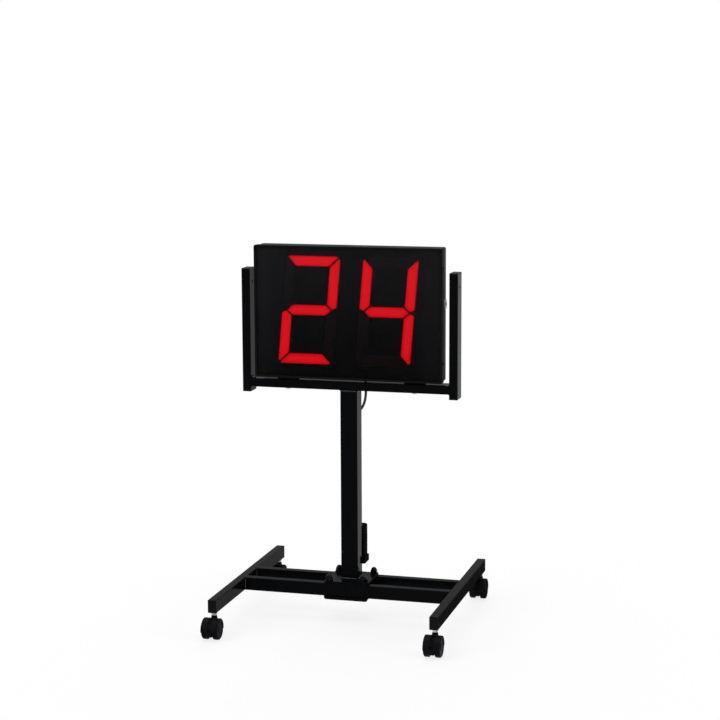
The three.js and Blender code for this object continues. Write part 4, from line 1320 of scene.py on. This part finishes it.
@dataclass
class PowerSet:
    """What feeds the display: connector plate, elbow plug, lead, clips, adapter and tray."""

    edge: float = 0.2
    plate_corner: float = 3.0
    plate_thickness: float = 2.0
    sockets: tuple[tuple[float, float, float], ...] = ((-24, 9.0, 6.5), (24, 6.0, 3.0))
    socket_depth: float = 8.0
    contact_ring: float = 4.2
    contact_count: int = 5
    plug_radius: float = 6.5
    plug_length: float = 15.0
    lead_radius: float = 3.0
    clip_ring: float = 5.2
    clip_bore: float = 3.4
    clip_foot: float = 1.6
    clip_corner: float = 1.5
    adapter_corner: float = 6.0
    adapter_ease: float = 4.5
    adapter_edge: float = 0.3
    tail_height: float = 11.0
    rib_pitch: float = 2.6
    inlet_half: tuple[float, float] = (9.0, 4.5)
    inlet_depth: float = 12.0
    inlet_corner: float = 3.0
    pin_aside: float = 4.0
    route: tuple[tuple[float, float, float], ...] = (
        (24, 42.6, 565.1), (24, 42.6, 540.3), (23.3, 42.1, 511.5), (18.7, 38.8, 492.0), (7.7, 31.0, 473.9),
        (0, 25.5, 456.3), (0, 25.5, 440), (0, 25.5, 309.9), (0, 25.5, 289.7), (0, 27, 261.9), (0, 34, 239.9),
        (0, 39.2, 225.9), (0, 39.2, 222.2),
    )

    def build(self) -> None:
        """Builds and dresses the whole set."""
        self.connector()
        self.plug()
        self.lead()
        self.clips()
        self.adapter()
        dress(Look.PAINT, "clamp_channel")
        dress(Look.TRAY, "adapter_tray")

    def smooth_route(self, steps: int = 6) -> list[Vector]:
        """Draws the lead's route as a smooth line in the row frame.

        Args:
            steps: Points between two of the route's own.

        Returns:
            The line's points.
        """
        shift = Vector((0, middle_of("column").y, 0))
        knots = [Vector(point) + shift for point in self.route]
        knots = [knots[0] * 2 - knots[1], *knots, knots[-1] * 2 - knots[-2]]
        line = []
        for stretch in zip(knots, knots[1:], knots[2:], knots[3:]):
            line += [self.curve_point(stretch, index / steps) for index in range(steps)]
        return [*line, knots[-2]]

    @staticmethod
    def curve_point(knots: Sequence[Vector], share: float) -> Vector:
        """Finds a point of a centripetal Catmull-Rom curve.

        Args:
            knots: The stretch's two knots, with the knot before them and the knot after them.
            share: How far along the stretch, from 0 to 1.

        Returns:
            The point.
        """
        times = [0.0]
        for first, second in zip(knots, knots[1:]):
            times.append(times[-1] + (second - first).length ** 0.5)
        time = times[1] + (times[2] - times[1]) * share
        points = list(knots)
        for spans in (((0, 1), (1, 2), (2, 3)), ((0, 2), (1, 3)), ((1, 2),)):
            shares = [(time - times[start]) / (times[stop] - times[start]) for start, stop in spans]
            points = [first.lerp(second, part) for first, second, part in zip(points, points[1:], shares)]
        return points[0]

    def lead(self) -> None:
        """Runs the lead along its clipped route."""
        strand = Solid.strand(self.smooth_route(), self.lead_radius, sides=6)
        strand.piece("lead_cable", Look.COVER, "power_lead", angle=60)

    def connector(self) -> None:
        """Makes the connector plate with the data socket, its contacts and the power jack."""
        low, high = box_of("connector_plate")
        back, z, depth = high.y, (low.z + high.z) / 2, self.socket_depth
        plate = Solid.bar((low.x, back - self.plate_thickness, low.z), high, Way.BACK, self.plate_corner, 0.5)
        for x, radius, bore in self.sockets:
            place = Way.BACK.to((x, back - depth, z))
            plate.cut(Solid.rod(radius - 0.2, 0, depth + 4, 48).moved(place))
            plate.join(Solid.turned([
                (0, 0), (radius, 0), (radius, depth), (bore + 0.4, depth), (bore, depth - 0.4), (bore, 2),
                (0, 2),
            ], 48).moved(place))
        contacts = Solid()
        for index in range(self.contact_count):
            angle = math.radians(200 + index * 35)
            x = self.sockets[0][0] + self.contact_ring * math.cos(angle)
            contact = Solid.turned([(0, 0), (0.5, 0), (0.5, 4), (0.3, 4.4), (0, 4.5)], 12)
            place = Way.BACK.to((x, back - depth + 2.1, z + self.contact_ring * math.sin(angle)))
            contacts.add(contact.moved(place))
        plate.piece("connector_panel", Look.PLASTIC, "connector_plate", edge=self.edge)
        contacts.piece("data_contacts", Look.ZINC)

    def plug(self) -> None:
        """Moulds the elbow plug with its ribbed tail."""
        low, high = box_of("elbow_plug")
        radius, length = self.plug_radius, self.plug_length
        x, y = (low.x + high.x) / 2, high.y - radius
        ribs = []
        for index in range(5):
            top, r = low.z + 13 - index * self.rib_pitch, 6.1 - index * 0.34
            ribs += [(r, top), (r, top - 1.5), (r - 0.9, top - 1.6), (r - 0.9, top - 2.5)]
        body = Solid.turned([
            (0, low.z), (3.6, low.z), *reversed(ribs), (6.2, low.z + 13.2), (radius, low.z + 14),
            (radius, high.z - 2.4), (6.2, high.z - 1.2), (5.4, high.z - 0.4), (4.4, high.z), (0, high.z),
        ], 40).moved(Way.UP.to((x, y, 0)))
        barrel = [(0, -4), (2.6, -4), (2.6, 0), (6.2, 0), (radius, 0.3), (radius, length), (0, length)]
        body.join(Solid.turned(barrel, 40).moved(Way.BACK.to((x, y - length, high.z - 12))))
        body.piece("elbow_plug_moulding", Look.PLASTIC, "elbow_plug", edge=self.edge)

    def clips(self) -> None:
        """Moulds the two clips on the column's back."""
        for name in ("lead_clip_1", "lead_clip_2"):
            low, high = box_of(name)
            height = high.z - low.z
            place = Way.UP.to(((low.x + high.x) / 2, high.y - self.clip_ring, low.z))
            clip = Solid.bar(low, (high.x, low.y + self.clip_foot, high.z), Way.BACK, self.clip_corner, 0.5)
            clip.join(Solid.rod(self.clip_ring, 0, height, 40).moved(place))
            clip.cut(Solid.rod(self.clip_bore, -2, height + 2).moved(place))
            clip.piece(f"{name}_moulding", Look.PLASTIC, name, edge=self.edge)

    def adapter(self) -> None:
        """Moulds the adapter: rounded body, ribbed tail and the mains inlet with its pins."""
        low, high = box_of("adapter")
        x, y, _ = middle_of("adapter")
        top = high.z - self.tail_height
        body = Solid.bar(low, (high.x, high.y, top), Way.UP, self.adapter_corner, self.adapter_ease, 5)
        ribs = []
        for index in range(4):
            z, r = top - 1 + index * self.rib_pitch, 5.0 - index * 0.4
            ribs += [(r, z), (r, z + 1.5), (r - 0.7, z + 1.6), (r - 0.7, z + 2.5)]
        tail = Solid.turned([(0, top - 2), (5, top - 2), *ribs, (3.5, high.z), (0, high.z)], 36)
        body.join(tail.moved(under("adapter")))
        wide, deep = self.inlet_half
        floor = low.z + self.inlet_depth
        corners = (x - wide, y - deep, low.z - 3), (x + wide, y + deep, floor)
        body.cut(Solid.bar(*corners, Way.UP, self.inlet_corner))
        body.piece("adapter_moulding", Look.SHELL, "adapter", edge=self.adapter_edge)
        pins = Solid()
        pin = Solid.turned([(0, 0), (1.1, 0), (1.1, 8), (0.8, 8.6), (0, 8.8)], 20)
        for aside in (-self.pin_aside, self.pin_aside):
            pins.add(pin.moved(Way.DOWN.to((x + aside, y, floor - 0.1))))
        pins.piece("inlet_pins", Look.ZINC)


@dataclass
class Studio:
    """The floor, the white surround, the soft lamps and the camera at the photograph's angle.

    The camera's distance and target are in millimetres, and all else in metres. What glossy surfaces mirror
    is a sweep of levels over the surround's height, and a floor with a patch beside the right foot that only
    gloss sees dark, a painted dark reflection in the foot's side.
    """

    azimuth: float = 15.7
    elevation: float = 8.93
    distance: float = 4339.5
    target: tuple[float, float, float] = (0.0, 13.1, 602.9)
    lens: float = 95.16
    shift: float = 0.0129
    roll: float = -0.289
    room: float = 0.42
    reflected: tuple[tuple[float, float], ...] = ((0.05, 1.0), (0.1, 0.55), (0.35, 0.36), (0.6, 0.75))
    reflected_tint: Color = (0.95, 1.0, 0.93)
    floor_radius: float = 30.0
    floor_drop: float = 0.0002
    floor_grey: float = 0.86
    sweep: tuple[float, float, float] = (0.3, 1.3, 0.8)
    mirror_reach: tuple[float, float, float] = (-0.1, 0.08, 0.5)
    # The patch beside the right foot that gloss sees dark, a painted dark reflection: its middle, its half
    # sizes, and where its edge starts and ends with the level inside it.
    dark_reflection_middle: tuple[float, float] = (0.46, 0.3)
    dark_reflection_half: tuple[float, float] = (0.22, 0.65)
    dark_reflection_edge: tuple[float, float, float] = (0.85, 1.1, 0.04)
    # Each lamp's name, place, aim, length of its sides, power in watts, and whether gloss mirrors it.
    lamps: tuple[tuple[str, Point, Point, float, float, bool], ...] = (
        ("lamp_above", (-0.4, 0.2, 3.2), (0, 0, 0.3), 2.6, 42, True),
        ("lamp_front_left", (-2.6, -2.8, 2.2), (0, 0, 0.5), 1.6, 48, True),
        ("lamp_right", (3.2, -0.6, 1.8), (0, 0, 0.45), 1.4, 30, True),
        ("lamp_behind", (-0.5, 3.3, 2.3), (0, 0, 0.5), 2.4, 60, False),
    )

    def build(self) -> None:
        """Sets up the whole studio."""
        self.camera()
        self.world()
        self.floor()
        self.hang_lamps()

    def camera(self) -> None:
        """Places the camera as the photograph was taken."""
        data = bpy.data.cameras.new("photo_camera")
        data.sensor_width = 36
        data.lens = self.lens
        data.shift_x = self.shift
        data.clip_end = 60
        camera = bpy.data.objects.new("photo_camera", data)
        bpy.context.scene.collection.objects.link(camera)
        a, e = math.radians(self.azimuth), math.radians(self.elevation)
        back = Vector((math.sin(a) * math.cos(e), -math.cos(a) * math.cos(e), math.sin(e)))
        camera.location = (Vector(self.target) + back * self.distance) * MM
        roll = Matrix.Rotation(math.radians(self.roll), 4, "Z")
        camera.rotation_euler = ((-back).to_track_quat("-Z", "Y").to_matrix().to_4x4() @ roll).to_euler()
        bpy.context.scene.camera = camera

    def world(self) -> None:
        """Makes a grey room that looks white to the camera, and mirrors as a sweep of levels."""
        world = bpy.data.worlds.new("studio")
        bpy.context.scene.world = world
        world.use_nodes = True
        nodes = Nodes(world.node_tree)
        rays = nodes.add("LightPath").outputs
        height = nodes.parts(nodes.add("TexCoord").outputs["Generated"])["Z"]
        steps = [(at, [level * share for share in self.reflected_tint]) for at, level in self.reflected]
        room = (self.room, self.room, self.room, 1)
        lit = nodes.mix(rays["Is Glossy Ray"], room, nodes.ramp(height, steps))
        seen = nodes.math("MAXIMUM", rays["Is Camera Ray"], rays["Is Transmission Ray"])
        nodes.feed(world.node_tree.nodes["Background"], {"Color": nodes.mix(seen, lit, WHITE)})

    def floor(self) -> None:
        """Lays a pale floor that fades to the white surround."""
        mesh = bpy.data.meshes.new("floor")
        bm = bmesh.new()
        bmesh.ops.create_circle(bm, cap_ends=True, radius=self.floor_radius, segments=96)
        bm.to_mesh(mesh)
        floor = bpy.data.objects.new("floor", mesh)
        floor.location.z = -self.floor_drop
        bpy.context.scene.collection.objects.link(floor)
        made = bpy.data.materials.new("pale_floor")
        made.use_nodes = True
        mesh.materials.append(made)
        nodes = Nodes(made.node_tree)
        rays = nodes.add("LightPath").outputs
        place = nodes.add("TexCoord").outputs["Object"]
        grey = (self.floor_grey, self.floor_grey, self.floor_grey, 1)
        matt = {"Base Color": grey, "Roughness": 0.9, "Specular IOR Level": 0.1}
        shader = nodes.feed(made.node_tree.nodes["Principled BSDF"], matt)
        tint = nodes.mix(rays["Is Glossy Ray"], WHITE, self.mirrored(nodes, place))
        glow = nodes.feed(nodes.add("Emission"), {"Color": tint})
        fade = nodes.spread(nodes.length(place), *self.sweep, smooth=True)
        seen = nodes.math("MULTIPLY", fade, rays["Is Camera Ray"])
        shown = nodes.math("MAXIMUM", seen, rays["Is Glossy Ray"])
        mix = nodes.feed(nodes.add("MixShader"), {0: shown, 1: shader.outputs[0], 2: glow.outputs[0]})
        nodes.feed(made.node_tree.nodes["Material Output"], {"Surface": mix.outputs[0]})

    def mirrored(self, nodes: Nodes, place: Socket) -> Socket:
        """Says how bright the floor looks in gloss: greyer to the left, and dark in a patch beside the right
        foot, a painted dark reflection in that foot's side.

        Args:
            nodes: The floor's nodes.
            place: Object coordinates.

        Returns:
            The brightness.
        """
        # Painted dark reflection: the patch beside the right foot, dark to gloss only.
        centred = nodes.add("Mapping")
        centred.vector_type = "TEXTURE"
        middle, half = (*self.dark_reflection_middle, 0), (*self.dark_reflection_half, 1)
        nodes.feed(centred, {"Vector": place, "Location": middle, "Scale": half})
        clear = nodes.spread(nodes.length(centred.outputs[0]), *self.dark_reflection_edge)
        return nodes.math("MULTIPLY", nodes.spread(nodes.parts(place)["X"], *self.mirror_reach), clear)

    def hang_lamps(self) -> None:
        """Hangs the soft square lamps."""
        for name, place, aim, size, power, mirrored in self.lamps:
            data = bpy.data.lights.new(name, "AREA")
            data.size = size
            data.energy = power
            lamp = bpy.data.objects.new(name, data)
            lamp.location = place
            lamp.rotation_euler = (Vector(aim) - Vector(place)).to_track_quat("-Z", "Y").to_euler()
            lamp.visible_camera = False
            lamp.visible_glossy = mirrored
            bpy.context.scene.collection.objects.link(lamp)


def main() -> None:
    """Builds the studio and the clock."""
    logging.basicConfig(level=logging.INFO, format="%(name)s: %(message)s")
    bpy.context.scene.view_settings.view_transform = "Standard"
    Studio().build()
    Stand().build()
    build_casters()
    DisplayCase().build()
    PowerSet().build()


if __name__ == "__main__":
    main()
